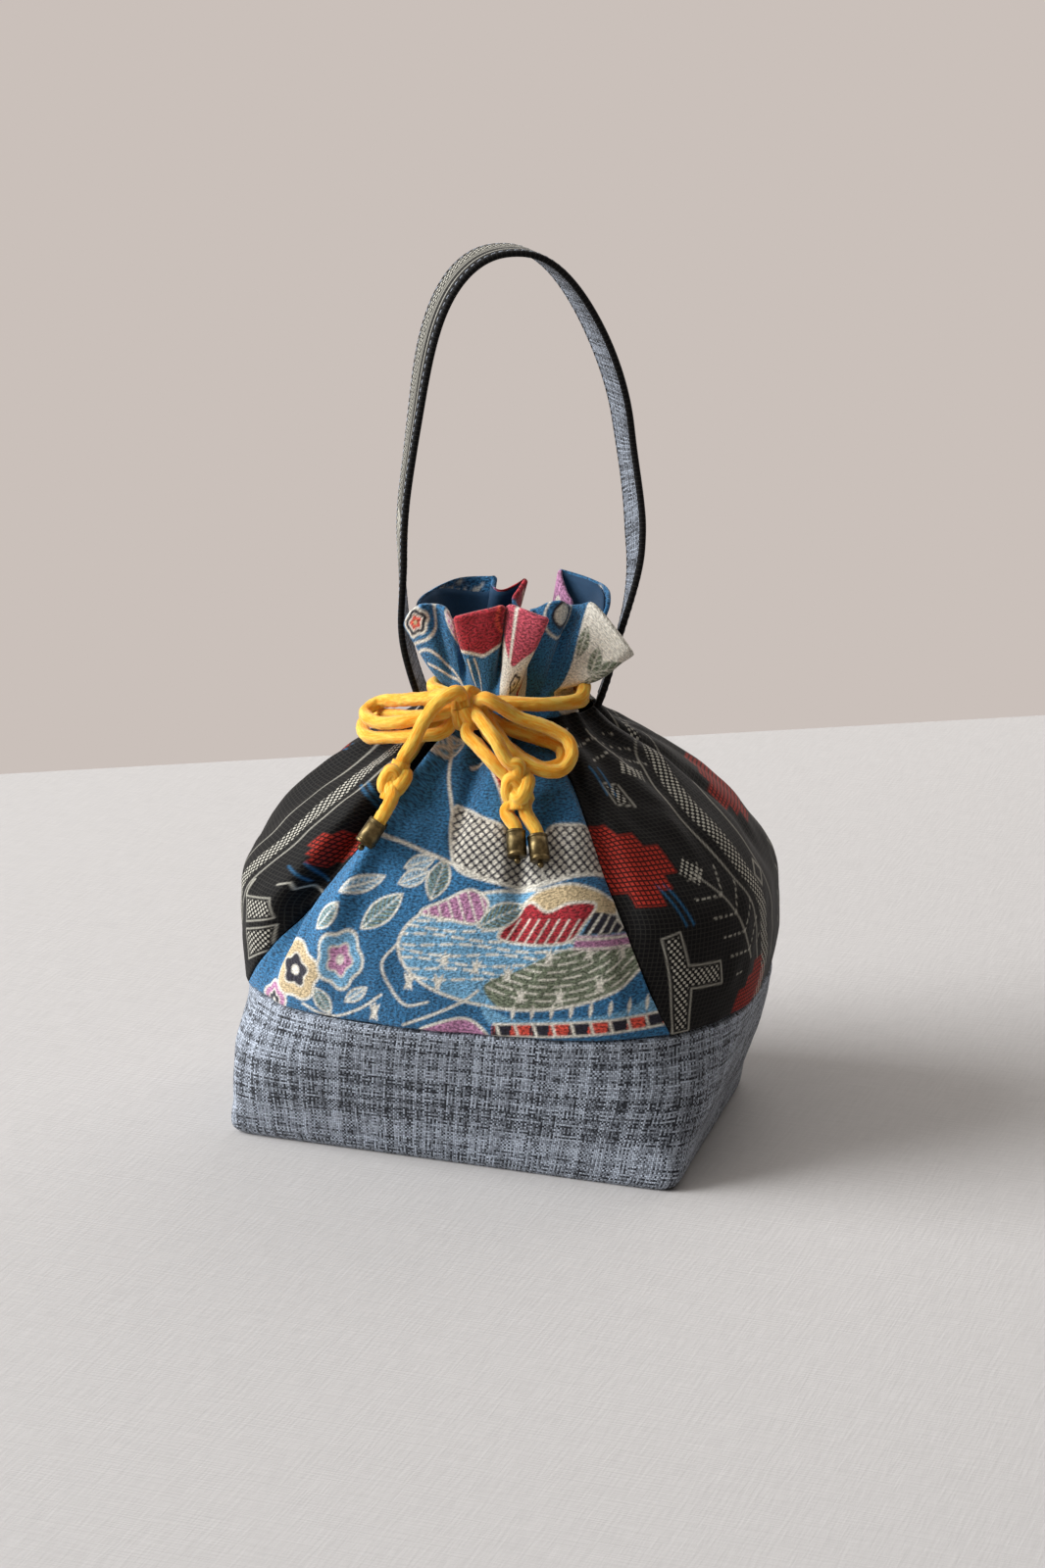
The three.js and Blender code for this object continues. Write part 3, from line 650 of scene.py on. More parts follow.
def thread_material():
    """Grey sewing thread."""
    s = Shader("sewing_thread", Roughness=0.7, Sheen_Weight=0.2, Specular_IOR_Level=0.3)
    place = s.add("ShaderNodeTexCoord", output=3)
    ply = s.noise(place, 3000, 1)
    colour = s.blend(s.range(ply, 0.3, 0.7), tuple(tone("silver") * 0.35), tuple(tone("silver") * 0.9))
    return s.finish(colour, s.bump(ply, 0.0001, 0.3))


def floor_material():
    """Pale woven table cloth."""
    s = Shader("table_cloth", Roughness=0.95, Specular_IOR_Level=0.1)
    place = s.add("ShaderNodeTexCoord", output=3)
    warp = s.noise(s.scaled(place, (900, 60, 1)), 1, 2)
    weft = s.noise(s.scaled(place, (60, 900, 1)), 1, 2)
    weave = s.math("ADD", warp, weft)
    colour = s.blend(1, tone("floor"), s.range(weave, 0.7, 1.3, 0.95, 1.04), "MULTIPLY")
    return s.finish(colour, s.bump(weave, 0.0004, 0.25))


MATERIALS = {}


def material(name, maker):
    """A material that several pieces share, made once."""
    if name not in MATERIALS:
        MATERIALS[name] = maker()
    return MATERIALS[name]


# Prints

class Paint:
    """Colours of one piece of cloth, laid on shape by shape over its own millimetres."""

    # Width of a shape's soft edge in millimetres
    SOFT = 0.7

    def __init__(self, u, v, ground):
        self.u, self.v = u, v
        self.colour = np.broadcast_to(tone(ground), u.shape + (3,)).copy()
        self.clip = None

    def fill(self, distance, colour):
        """Colours a shape, given as its signed distance."""
        share = np.clip(0.5 - distance / self.SOFT, 0, 1)
        if self.clip is not None:
            share = share * self.clip
        self.colour += share[..., None] * (tone(colour) - self.colour)

    def outline(self, distance, width, colour="cream"):
        """Draws along the edge of a shape."""
        self.fill(np.abs(distance) - width / 2, colour)

    def within(self, distance=None):
        """Keeps what follows inside a shape, or everywhere again."""
        self.clip = None if distance is None else np.clip(0.5 - distance / self.SOFT, 0, 1)

    def oval(self, middle, radii):
        """Signed distance to an oval."""
        x, y = self.u - middle[0], self.v - middle[1]
        k = np.hypot(x / radii[0], y / radii[1])
        slope = np.hypot(x / radii[0] ** 2, y / radii[1] ** 2)
        return k * (k - 1) / np.maximum(slope, 1e-6)

    def near(self, points, margin):
        """Cells close enough to a shape to need its distance."""
        low, high = points.min(0) - margin, points.max(0) + margin
        return (self.u > low[0]) & (self.u < high[0]) & (self.v > low[1]) & (self.v < high[1])

    def path(self, points, margin=12, smooth=True):
        """Distance to a drawn line."""
        line = smooth_line(points, 1.5) if smooth else np.asarray(points, float)
        where = self.near(line, margin)
        u, v = self.u[where], self.v[where]
        best = np.full(u.shape, float(margin))
        for (x0, y0), (x1, y1) in zip(line[:-1], line[1:]):
            dx, dy = x1 - x0, y1 - y0
            t = np.clip(((u - x0) * dx + (v - y0) * dy) / (dx * dx + dy * dy + 1e-9), 0, 1)
            best = np.minimum(best, np.hypot(u - x0 - t * dx, v - y0 - t * dy))
        out = np.full(self.u.shape, float(margin))
        out[where] = best
        return out

    def line(self, points, half, colour="cream", smooth=True):
        """Draws a line of a given half width."""
        self.fill(self.path(points, smooth=smooth) - half, colour)

    def blob(self, points, smooth=True):
        """Signed distance to a closed outline, inside negative."""
        ring = np.asarray([*points, points[0]], float)
        if smooth:
            ring = smooth_line([points[-1], *points, points[0], points[1]], 1.2)
            half = len(ring) // 2
            away = np.linalg.norm(ring - points[0], axis=1)
            ring = ring[np.argmin(away[:half]):half + np.argmin(away[half:]) + 1]
        distance = self.path(ring, smooth=False)
        where = self.near(ring, 1)
        u, v = self.u[where], self.v[where]
        inside = np.zeros(u.shape, bool)
        for (x0, y0), (x1, y1) in zip(ring, np.roll(ring, -1, axis=0)):
            crosses = (y0 > v) != (y1 > v)
            inside ^= crosses & (u < (x1 - x0) * (v - y0) / (y1 - y0 + 1e-12) + x0)
        sign = np.ones(self.u.shape)
        sign[where] = np.where(inside, -1, 1)
        return distance * sign

    def patch(self, points, colour, edge):
        """Fills a closed outline and gives it a cream edge."""
        shape = self.blob(points)
        self.fill(shape, colour)
        self.outline(shape, edge)

    def leaf_shape(self, base, tip, width):
        """Signed distance to a leaf, the share along it and the distance across it."""
        base, tip = np.asarray(base, float), np.asarray(tip, float)
        length = np.linalg.norm(tip - base)
        d = (tip - base) / length
        along = ((self.u - base[0]) * d[0] + (self.v - base[1]) * d[1]) / length
        across = (self.v - base[1]) * d[0] - (self.u - base[0]) * d[1]
        half = width / 2 * np.sin(np.pi * np.clip(along, 0, 1)) ** 0.8
        beyond = np.maximum(np.abs(along - 0.5) - 0.5, 0) * length
        beside = np.abs(across) - half
        return np.hypot(np.maximum(beside, 0), beyond) + np.minimum(beside, 0), along, across

    def leaf(self, base, tip, width, colour="leaf"):
        """A leaf with a rib and veins."""
        shape, along, across = self.leaf_shape(base, tip, width)
        self.fill(shape, colour)
        self.outline(shape, 0.9)
        self.within(shape + 0.4)
        self.fill(np.abs(across) - 0.35, "cream")
        veins = np.abs(np.mod(along * 9 - np.abs(across) * 0.5, 1) - 0.5) * 1.6 - 0.22
        self.fill(np.where(np.abs(along - 0.5) < 0.42, veins, 1), "sky" if colour == "leaf" else "cream")
        self.within()

    def flower(self, middle, radius, petals, colour, core, eye="cream", turn=0.0, tall=1.0):
        """A round flower with a core and an eye."""
        x, y = self.u - middle[0], (self.v - middle[1]) / tall
        angle = np.arctan2(y, x) + math.radians(turn)
        reach = np.hypot(x, y)
        edge = radius * (1 - 0.16 * np.abs(np.cos(angle * petals / 2)) ** 3)
        self.fill(reach - edge, colour)
        self.outline(reach - edge, 1.1)
        core_edge = radius * (0.5 - 0.07 * np.cos(angle * petals))
        self.fill(reach - core_edge, core)
        self.outline(reach - core_edge, 0.7)
        self.fill(reach - radius * 0.17, eye)

    def strokes(self, middle, count, spread, length, width=1.3):
        """A tuft of grass."""
        for k in range(count):
            turn = math.radians(90 + (k - (count - 1) / 2) * spread)
            foot = np.array(middle) + np.array([(k - (count - 1) / 2) * 1.6, 0])
            tip = foot + length * np.array([math.cos(turn), math.sin(turn)])
            self.fill(self.leaf_shape(foot, tip, width)[0], "cream")

    def checks(self, shape, pitch):
        """Rows of cream rounded squares on navy inside a shape, with a cream edge."""
        self.fill(shape, "navy")
        self.within(shape + 0.5)
        a, b = (self.u + self.v) / pitch, (self.u - self.v) / pitch
        cell_u, cell_v = np.abs(np.mod(a, 1) - 0.5), np.abs(np.mod(b, 1) - 0.5)
        tile = (np.maximum(cell_u, cell_v) * 0.75 + np.hypot(cell_u, cell_v) * 0.25) * pitch
        self.fill(tile - 0.36 * pitch, "cream")
        self.within()
        self.outline(shape, 1.0)


def landscape_print(paint):
    """Generic garden print: hills, leaves, flowers and checked patches.

    Places are millimetres to the right of the panel's middle and up from the base seam.
    """
    p = paint
    p.fill(p.blob([(-17.5, 123), (-14, 112), (-7, 109), (-2, 114), (-3, 124)]), "navy")
    p.leaf((-26, 104), (-15, 114), 5, "sky")
    p.patch([(-4, 107), (2, 110), (9, 97), (6, 83), (1, 94)], "coral", 1.0)
    p.line([(-12, 103), (-6, 108), (-1, 108)], 0.6)
    p.leaf((14, 112), (24, 122), 6, "cream")

    p.line([(-20, 112), (-19.5, 98), (-16, 84), (-12, 66)], 0.6)
    for ring in ([(-15, 87), (-6, 84), (4, 80), (9, 75), (20, 69), (25, 62), (19, 58), (5, 59), (-11, 64)],
                 [(21, 78), (29, 80), (38, 78.5), (44, 70), (47, 62.5), (36, 62), (23, 60)]):
        p.checks(p.blob(ring), 3.4)
    p.line([(-60, 66), (-46, 71), (-34, 71.5), (-22, 68), (-11, 64.5), (4, 59), (19, 57.6), (33, 61.5),
                   (50, 62.5)], 0.65)

    p.leaf((-29, 62), (-19, 66), 6, "sky")
    p.leaf((-30, 56), (-20, 61), 6, "sky")
    p.leaf((-17, 51), (-15, 66), 8)
    p.leaf((-41, 38), (-28, 52), 8.5)
    p.leaf((-50, 50), (-36, 58), 5, "sky")

    hill = p.oval((20.5, 34), (46.5, 22.5))
    p.fill(hill, "sky")
    p.within(hill)
    for k in range(9):
        level = 22 + 3.1 * k
        wave = p.v - level - 0.8 * np.sin(p.u / 7 + 2 * k)
        p.fill(np.abs(wave) - 0.5 + 0.5 * (np.sin(p.u * 0.9 + 3 * k) > 0.55), "cream")
    meadow = p.blob([(14, 12), (8, 20), (20, 27), (33, 34), (52, 37), (70, 38), (70, 8), (30, 6)])
    p.fill(meadow, "leaf")
    p.within(np.maximum(hill, meadow))
    for k in range(8):
        arc = np.hypot(p.u - 30, (p.v - 47) * 1.3) - 16 - 3.6 * k
        p.fill(np.abs(arc) - 0.45 + 0.5 * (np.sin(p.u * 0.7 + 2.1 * k) > 0.7), "cream")
    p.within(hill)
    for place in ((-8, 26), (4, 24), (16, 22), (30, 29), (44, 31), (57, 31), (22, 14), (36, 14), (50, 19)):
        p.strokes(place, 3, 32, 6.5)
    p.within()
    p.outline(hill, 1.2)
    mauve = p.blob([(-20, 46), (-12, 51), (-3, 55.5), (4, 51), (2, 43.5), (-9, 44)])
    p.fill(mauve, "mauve")
    p.within(mauve)
    p.fill(np.abs(np.mod(p.u + 0.5 * p.v, 4.2) - 2.1) - 0.35, "cream")
    p.within()
    p.outline(mauve, 1.1)
    p.patch([(16, 50), (22, 56), (33, 58.5), (45, 55), (56, 48), (40, 47.5), (27, 48)], "beige", 0.9)
    terrace = p.blob([(10, 38.5), (14, 46), (19, 52), (26, 48.5), (33, 51.5), (43, 51), (40, 44), (36, 38)])
    p.fill(terrace, "red")
    p.within(terrace)
    p.fill(np.abs(np.mod(p.u - 0.4 * p.v, 3.6) - 1.8) - 0.35 + FAR * (p.v > 46), "cream")
    p.within()
    p.outline(terrace, 1.0)
    field = p.blob([(43, 48.5), (54, 46.5), (61, 40.5), (40, 40.5)], smooth=False)
    p.fill(field, "navy")
    p.within(field)
    p.fill(np.abs(np.mod(p.u - 0.5 * p.v, 4) - 2) - 0.5, "cream")
    p.within(np.maximum(hill, np.abs(p.v - 37.5) - 2.6))
    p.fill(38 - p.u, "mauve")
    p.fill(np.maximum(np.abs(p.v - 39) - 0.5, 38 - p.u), "cream")
    p.fill(np.maximum(np.abs(p.v - 35.4) - 0.5, 36 - p.u), "cream")
    p.within()
    p.leaf((2, 42), (17, 51), 9)
    p.leaf((58, 42), (52, 53), 5)

    p.strokes((-20, 16), 3, 28, 8, width=1.8)
    p.strokes((-9, 17), 2, 40, 7, width=1.8)
    p.strokes((-32, 2), 3, 26, 8, width=1.7)
    bank = [(8, 12), (20, 8), (40, 9), (60, 12), (84, 20), (84, 10), (60, 7), (30, 4), (12, 5)]
    p.fill(p.blob(bank), "sky")
    for k in range(9):
        p.strokes((20 + 7 * k, 7.5 + 0.5 * k), 1, 0, 6, width=1.5)
    p.patch([(-14, 0), (-6, 4.5), (2, 6.5), (8, 4), (12, -1), (0, -3)], "mauve", 1.1)
    p.line([(-20, 2), (-8, 8), (2, 14), (6, 18)], 0.55)
    left, block = 13, 7
    middle = 2.6 + 0.078 * (p.u - left)
    strip = np.maximum(np.abs(p.v - middle) - 2.5, left - p.u)
    p.fill(strip, "coral")
    p.within(strip)
    within_block = np.mod(p.u, block)
    odd = np.where(np.mod(p.u - left, 2 * block) < block, -1, 1)
    p.fill(odd * np.minimum(within_block, block - within_block), "navy")
    p.fill(np.abs(np.mod(p.u - left + 0.4 * p.v, block) - block / 2) - 0.55, "cream")
    p.within()
    p.outline(np.abs(p.v - middle) - 2.6 + FAR * (p.u < left), 0.9)

    p.flower((-67, 17), 12.5, 5, "beige", "navy", turn=20)
    p.flower((-47.5, 25), 9, 5, "sky", "mauve", turn=40, tall=1.35)
    p.flower((-78, 1), 8, 5, "mauve", "navy", turn=10)
    p.leaf((-57, 12), (-50, 2), 6)
    p.leaf((-58, 36), (-50, 46), 6)
    p.leaf((-44, 8), (-36, 15), 4.5, "sky")
    p.line([(-62, 4), (-50, 1), (-38, 6), (-30, 13)], 0.5)
    p.line([(-26, 34), (-31, 26), (-28, 18), (-20, 10), (-12, 12)], 0.5)


def front_frill_print(paint):
    """The garden cloth of the front frill; each fold shows another part of the print.

    Places are millimetres along the rim from its left end and up from the casing.
    """
    p = paint
    p.flower((17.5, 37), 5.4, 5, "navy", "coral", "beige", turn=30)
    p.line([(6, 34), (14, 30), (20, 29), (25, 33), (27, 42)], 0.6)
    p.line([(10, 27), (18, 25), (26, 18), (33, 15), (41, 9)], 0.6)
    p.line([(14, 20), (24, 14), (36, 12), (42, 4)], 0.6)
    p.leaf((33, 43), (40, 30), 6, "mauve")
    p.patch([(49, 48), (52, 30), (62, 26), (70, 24), (78, 27), (86, 30), (94, 48)], "red", 1.3)
    p.line([(76, 44), (75, 37), (79, 32), (86, 33)], 0.7, "coral")
    p.line([(64, 23), (67, 14), (70, 2)], 0.55)
    p.line([(60, 23), (61, 12), (66, 2)], 0.55)
    p.fill(p.blob([(98, 30), (108, 25), (117, 30), (124, 34), (131, 36), (131, 4), (98, 4)]), "cream")
    pink = p.blob([(96, 48), (99, 30), (106, 20), (112, 24), (120, 31), (128, 37), (132, 48)])
    p.fill(pink, "rose")
    p.within(pink)
    p.fill(np.abs(p.u - 104) - 0.7, "cream")
    p.within()
    p.flower((111, 13), 5, 5, "navy", "cream", "navy")
    p.line([(118, 28), (123, 20), (121, 8)], 1.0, "red")
    p.fill(p.blob([(138, 50), (138, 24), (150, 20), (163, 26), (166, 50)]), "blue")
    disc = p.oval((149, 37.5), (5, 4.4))
    p.fill(disc, "cream")
    p.outline(disc, 1.2, "navy")
    p.outline(p.oval((149, 37.5), (8.5, 8.5)), 1.0)
    flap = p.blob([(170, 52), (170, 20), (176, 2), (214, 0), (220, 30), (219, 52)])
    p.fill(flap, "cream")
    p.within(flap)
    for base, tip, wide in (((183, 20), (193, 33), 8), ((183, 19), (199, 22), 8), ((183, 18), (194, 8), 8),
                            ((182, 18), (178, 30), 6), ((171, 34), (172, 22), 5), ((200, 32), (210, 24), 7)):
        shape, along, side = p.leaf_shape(base, tip, wide)
        p.fill(shape, "leaf")
        veins = np.abs(np.mod(along * 5 - np.abs(side) * 0.3, 1) - 0.5) * 2 - 0.15
        p.fill(np.maximum(shape + 0.5, np.minimum(np.abs(side) - 0.3, veins)), "cream")
    p.within()


def back_frill_print(paint):
    """The garden cloth of the back frill, with pink and red parts beside its deep fold."""
    p = paint
    pink = p.blob([(51, 50), (52, 20), (62, 14), (72, 18), (74, 50)])
    p.fill(pink, "mauve")
    p.within(pink)
    p.fill(p.oval((58, 34), (3, 4)), "cream")
    p.fill(p.oval((65, 28), (3, 3)), "beige")
    p.fill(p.oval((60, 24), (2.5, 3)), "coral")
    p.within()
    red = p.blob([(90, 50), (92, 18), (100, 12), (108, 18), (111, 50)])
    p.fill(red, "red")
    p.within(red)
    p.fill(p.oval((101, 34), (3.5, 4)), "navy")
    p.line([(95, 40), (100, 28), (107, 26)], 0.7, "beige")
    p.within()
    p.line([(124, 38), (132, 35), (140, 39), (150, 36), (160, 40)], 0.7)
    p.outline(p.oval((138, 38), (7, 3)), 0.8)
    p.flower((24, 34), 6, 5, "beige", "coral", turn=15)
    p.leaf((30, 24), (40, 34), 7)
    p.leaf((6, 36), (14, 26), 6, "sky")
    p.flower((160, 22), 7, 5, "mauve", "navy")
    p.leaf((140, 12), (150, 22), 6)
    p.line([(4, 14), (18, 18), (34, 12), (48, 16)], 0.6)


# Sizes of the dark cloth's figures: thread lines, dotted stripe and corners, rungs and dashes of a branch
THREAD_HALF = 0.22
STRIPE_HALF = 3.4
STRIPE_SLANT = 0.93
CORNER_MARGIN = 1.3
RUNG_PITCH = 9.5
RUNG_SLANT = 0.7
RUNG_REACH = 10
RUNG_HALF = 0.35
DASH_PITCH = 2.2
DASH = 1.2
BRANCH_TIP = 5.5

# A distance that lies outside any shape
FAR = 9


def woven_figures(paint, plan):
    """Figures of the dark cloth: a dotted stripe, stepped crosses, barred branches and dotted corners.

    The paint's first direction goes from the panel's middle towards the front.
    Returns the share of pale dots and the share of checked figures.
    """
    p, w, v = paint, paint.u, paint.v
    figure = np.zeros(w.shape)

    def share(distance):
        return np.clip(0.5 - distance / p.SOFT, 0, 1)

    heights, places = np.array(plan["stripe"], float).T[::-1]
    middle = smooth_line(np.stack([places, heights], -1), 1)
    away = (w - np.interp(v, middle[::-1, 1], middle[::-1, 0])) * STRIPE_SLANT
    for side in plan["lines"]:
        p.fill(np.abs(away - side) - THREAD_HALF, "thread")
    dots = share(np.abs(away) - STRIPE_HALF)
    for x, y, step in plan["crosses"]:
        a, b = np.abs(w - x), np.abs(v - y)
        bars = [np.maximum(a - step * i, b - step * j) for i, j in ((1, 3), (2, 2), (3, 1))]
        shape = np.minimum.reduce(bars)
        p.fill(shape, "rust")
        figure = np.maximum(figure, share(shape))
    for outline in plan["corners"]:
        edge = p.blob(outline, smooth=False)
        p.outline(edge, 0.4, "thread")
        dots = np.maximum(dots, share(edge + CORNER_MARGIN))
    for foot, tip in plan["branches"]:
        foot, tip = np.array(foot, float), np.array(tip, float)
        length = np.linalg.norm(tip - foot)
        d = (tip - foot) / length
        along = (w - foot[0]) * d[0] + (v - foot[1]) * d[1]
        across = (v - foot[1]) * d[0] - (w - foot[0]) * d[1]
        on_stem = (along > 0) & (along < length)
        beside = np.abs(across)
        p.fill(np.where(on_stem, beside - THREAD_HALF, FAR), "thread")
        dash = np.mod(beside, DASH_PITCH) < DASH
        rung = np.abs(np.mod(along - RUNG_SLANT * beside, RUNG_PITCH) - RUNG_PITCH / 2)
        p.fill(np.where(on_stem & dash & (beside < RUNG_REACH), rung - RUNG_HALF, FAR), "thread")
        dots = np.maximum(dots, share(np.abs(w - tip[0]) + np.abs(v - tip[1]) - BRANCH_TIP))
    for line in plan["blue"]:
        p.line(line, 0.3, "blue", smooth=False)
    for line in plan["pale"]:
        p.line(line, 0.35, "thread", smooth=False)
    return dots, figure


# Places of the dark cloth's figures: millimetres towards the front and up from the base seam
FIGURES = {
    "left": {
        "stripe": [(20, 140), (30, 120), (37, 108), (42, 96), (46, 84), (49, 73), (50, 62), (48, 48),
                   (38, 24), (30, -2)],
        "lines": (-13, 7),
        "crosses": [(74, 69, 3.3), (-14, 82, 5.2), (-62, 40, 5.2), (-34, 118, 3.6), (8, 30, 4.6)],
        "corners": [[(54, 38), (71, 42), (75, 34), (58, 28)], [(59, 25), (76, 31), (74, 20), (60, 12)],
                    [(-52, 50), (-45, 50), (-45, 92), (-70, 92), (-70, 84), (-52, 84)]],
        "branches": [((-30, 20), (-20, 62))],
        "blue": [[(66, 56), (78, 52)], [(71, 59), (82, 54)], [(48, 97), (65, 90)], [(48, 99.5), (63, 92.5)],
                 [(14, 107), (4, 101)], [(12, 110), (2, 104)]],
        "pale": [[(70, 48), (74, 50), (77, 47.5), (80, 50.5), (84, 49)], [(56, 46), (54, 38)]],
    },
    "right": {
        "stripe": [(-14, 141), (-6, 126), (11, 113), (20, 100), (25, 89), (27, 77), (26, 66), (24, 56),
                   (20, 47), (11, 28), (5, 12), (2, -2)],
        "lines": (-13, 7.5),
        "crosses": [(72, 67, 5.6), (-18, 80, 5.2), (14, 6, 4.4), (-66, 34, 5.2)],
        "corners": [[(71, 38), (64, 40), (59, 27), (44, 26), (41, 17), (56, 18), (51, 1), (58, 1)],
                    [(44, 101), (50, 103), (54, 92), (48, 90)],
                    [(-52, 50), (-45, 50), (-45, 92), (-70, 92), (-70, 84), (-52, 84)]],
        "branches": [((24, 22), (49, 61)), ((23, 131), (32, 106)), ((-30, 20), (-38, 62))],
        "blue": [[(43, 110), (50, 96)], [(46, 111), (53, 97)], [(66, 58), (61, 42)], [(63, 58), (58, 42)]],
        "pale": [[(13, 56), (17, 51), (13, 46), (9, 51), (13, 56)]],
    },
}


# Cords: where they run outside the neck and in its casing

OUT_NEAR = NECK_WIDTH / 2 + GATHER + GAP + CORD / 2
OUT_FAR = OUT_NEAR + CORD + GAP
RING = NECK_DEPTH / 2 - GATHER - CLOTH - GAP - CORD / 2
LEVEL = CORD / 2 + GAP
KNOT_ANGLE = -17.4
KNOT_STAND_OFF = 4
KNOT_REACH = {"left": 15.6, "right": 15.4}
LINING_NECK = RING - CORD / 2 - GAP


def round_neck(alpha, reach, rise):
    """Point round the neck: angle from the front, distance from the axis, height above the cords' level."""
    turn = math.radians(alpha - 90 + TWIST)
    return np.array([reach * math.cos(turn), reach * math.sin(turn), NECK_HEIGHT + rise])


KNOT = round_neck(KNOT_ANGLE, NECK_DEPTH / 2 + GATHER + GAP + BOW_KNOT / 2 + KNOT_STAND_OFF, 0)


def off_cloth(point, clearance):
    """Moves a point out along the cloth's slope until it is clear of the cloth."""
    z = min(point[2], NECK_HEIGHT)
    alpha = math.degrees(math.atan2(point[1], point[0])) + 90 - TWIST * min(z / NECK_HEIGHT, 1)
    normal = cloth_normal(alpha, z)
    distance = (point - cloth(alpha, z)) @ normal
    return point + normal * max(clearance - distance, 0)


def from_knot(route, clearance=CORD / 2 + GATHER + GAP):
    """Points of a route that is given from the bow's knot, clear of the cloth."""
    return [off_cloth(KNOT + np.array(place), clearance) for place in route]


def neck_route(side, level, knot_angle):
    """A drawcord's way: from the knot to its slit, round the neck in the casing, and from the slit back."""
    slit = FRONT_BAND_ANGLE
    # Each point: angle from the front, distance from the axis, height above the cords' level
    near = [(a, OUT_NEAR, 1 - i / 3 + level * (0.2 + 0.6 * i))
            for i, a in enumerate(np.linspace(knot_angle, slit - 3, 4))]
    turn_in = [(slit + 6.5, OUT_NEAR - 2.5, level * LEVEL * 0.85),
               (slit + 9, (OUT_NEAR + RING) / 2, level * LEVEL * 0.93)]
    ring = [(slit + 6, RING + 1.2, level * LEVEL), (slit - 4, RING, level * LEVEL)]
    ring += [(a, RING, level * LEVEL) for a in np.linspace(slit - 16, -255, 13)]
    ring += [(-266, RING + 1.5, level * LEVEL * 0.9), (-277, RING + 4.2, level * 0.8)]
    turn_out = [(-287, RING + 6.2, level * -2.4), (slit + 6.5 - 360, OUT_NEAR - 2.5, level * -3.6)]
    far = [(slit - 3 - 360, OUT_NEAR + 2, level * -3.4), (slit - 13 - 360, OUT_FAR, level * -0.5 + 0.5),
           (mix(slit - 13, knot_angle + 3, 0.5) - 360, OUT_FAR, 1), (knot_angle - 357, OUT_FAR, 1.5)]

    def placed(points):
        return [round_neck(a * side, reach, rise) for a, reach, rise in points]

    return placed(near + turn_in), placed(ring), placed(turn_out + far)


# Routes: millimetres to the right, back and up from the middle of the bow's knot
LOOPS = {
    "left_front": [[-7.4, -4.8, 5.2], [-16, -1, 2.5], [-29, 5, -1], [-40, 10, -4], [-43.5, 5, -7],
                   [-36, -3, -8], [-25, -7, -6], [-15, -7, -3], [-8.5, -6, -1]],
    "left_rear": [[-8.5, 1.5, -3], [-20, 1, -5.5], [-34, 8, -8], [-45, 15, -11], [-47, 11, -13.5],
                  [-40, 0, -14.8], [-30, -5, -12.6], [-18, -8, -10.2], [-8, -5, -8.2]],
    "right_outer": [[8, -5, 5.5], [19, 0, -2], [29, 4, -6], [36, 5, -10], [39, 1, -15], [37, -5, -19],
                    [30, -9, -18], [21, -9, -14], [10, -3, -6]],
    "right_inner": [[8, 3, -5], [17, 5, -9], [26, 8, -12], [32, 9, -15], [34, 4, -19], [29, 0, -20],
                    [22, 0, -18], [15, 0, -14], [7, 2, -10.5]],
}
LOOP_NODES = {"left_front": "loop_left_front", "left_rear": "loop_left_rear",
              "right_outer": "loop_right_front", "right_inner": "loop_right_rear"}
TAILS = {
    "left_front": [[-2, -8, 8], [-8, -11, 4], [-13, -13, -3], [-17, -15, -12], [-20, -17, -18]],
    "left_rear": [[-8, 8, -7], [-16, 6, -9], [-20, 2, -12.5], [-21, -3.5, -17], [-22, -11, -20]],
    "right_inner": [[1.5, -6.5, -6.5], [7, -10.5, -11], [13.5, -13.5, -15.5], [18, -13.5, -19.5]],
    "right_outer": [[8, -9, -2], [15, -14, -7], [21, -15, -15], [24, -14, -18]],
}
TAIL_KNOTS = {"left": [-22, -19, -25], "right": [24, -13, -25]}
# Each end: the way out of its tail knot, the mouth of its brass end, a point that the brass end aims at
ENDS = {
    "left_front": ([1.5, -6.8, -3.5], [-22, -35, -36], [-26, -39, -43]),
    "left_rear": ([-1.5, -1, -7.4], [-25, -27, -38], [-28, -31, -46]),
    "right_inner": ([-2.9, -3, -6.4], [25, -20, -39], [27, -24, -45]),
    "right_outer": ([2.9, -2.2, -6.4], [33, -19, -40], [35.4, -23, -46]),
}
CAP_CLEAR = CAP_DIAMETER / 2 + GAP


def square_end(middle, diameter, toward):
    """Two points that lead a cord straight out of a knot."""
    out = unit(np.asarray(toward) - middle)
    return [middle + out * (diameter / 2 + GAP), middle + out * (diameter / 2 + CORD * 0.7)]


def tail_knot_middle(side):
    """Place of the knot that ties two tails together."""
    return from_knot([TAIL_KNOTS[side]], TAIL_KNOT / 2 + GAP)[0]


def cord_end_place(name):
    """Mouth of a brass end and the way it points."""
    mouth, tip = from_knot(ENDS[name][1:], CAP_CLEAR)
    return mouth, unit(tip - mouth)


def strand_route(name, out_of_slit):
    """One free end: slit, knot, loop, knot, tail, tail knot and brass end."""
    side = name.split("_")[0]
    hand = -1 if side == "left" else 1
    loop = from_knot(LOOPS[name])
    tail = from_knot(TAILS[name])
    tail_knot = tail_knot_middle(side)
    mouth, direction = cord_end_place(name)
    root = square_end(tail_knot, TAIL_KNOT, tail_knot + np.array(ENDS[name][0]))
    into_loop, out_of_loop = KNOT + np.array([hand * 3, 2, 0]), KNOT + np.array([hand * 3, -1, 1])
    return [
        *out_of_slit, into_loop, *loop, out_of_loop,
        *square_end(KNOT, BOW_KNOT, tail[0]), *tail[1:-1], *square_end(tail_knot, TAIL_KNOT, tail[-1])[::-1],
        tail_knot, *root, mouth - direction * 1.5, mouth + direction * CAP_GRIP,
    ]


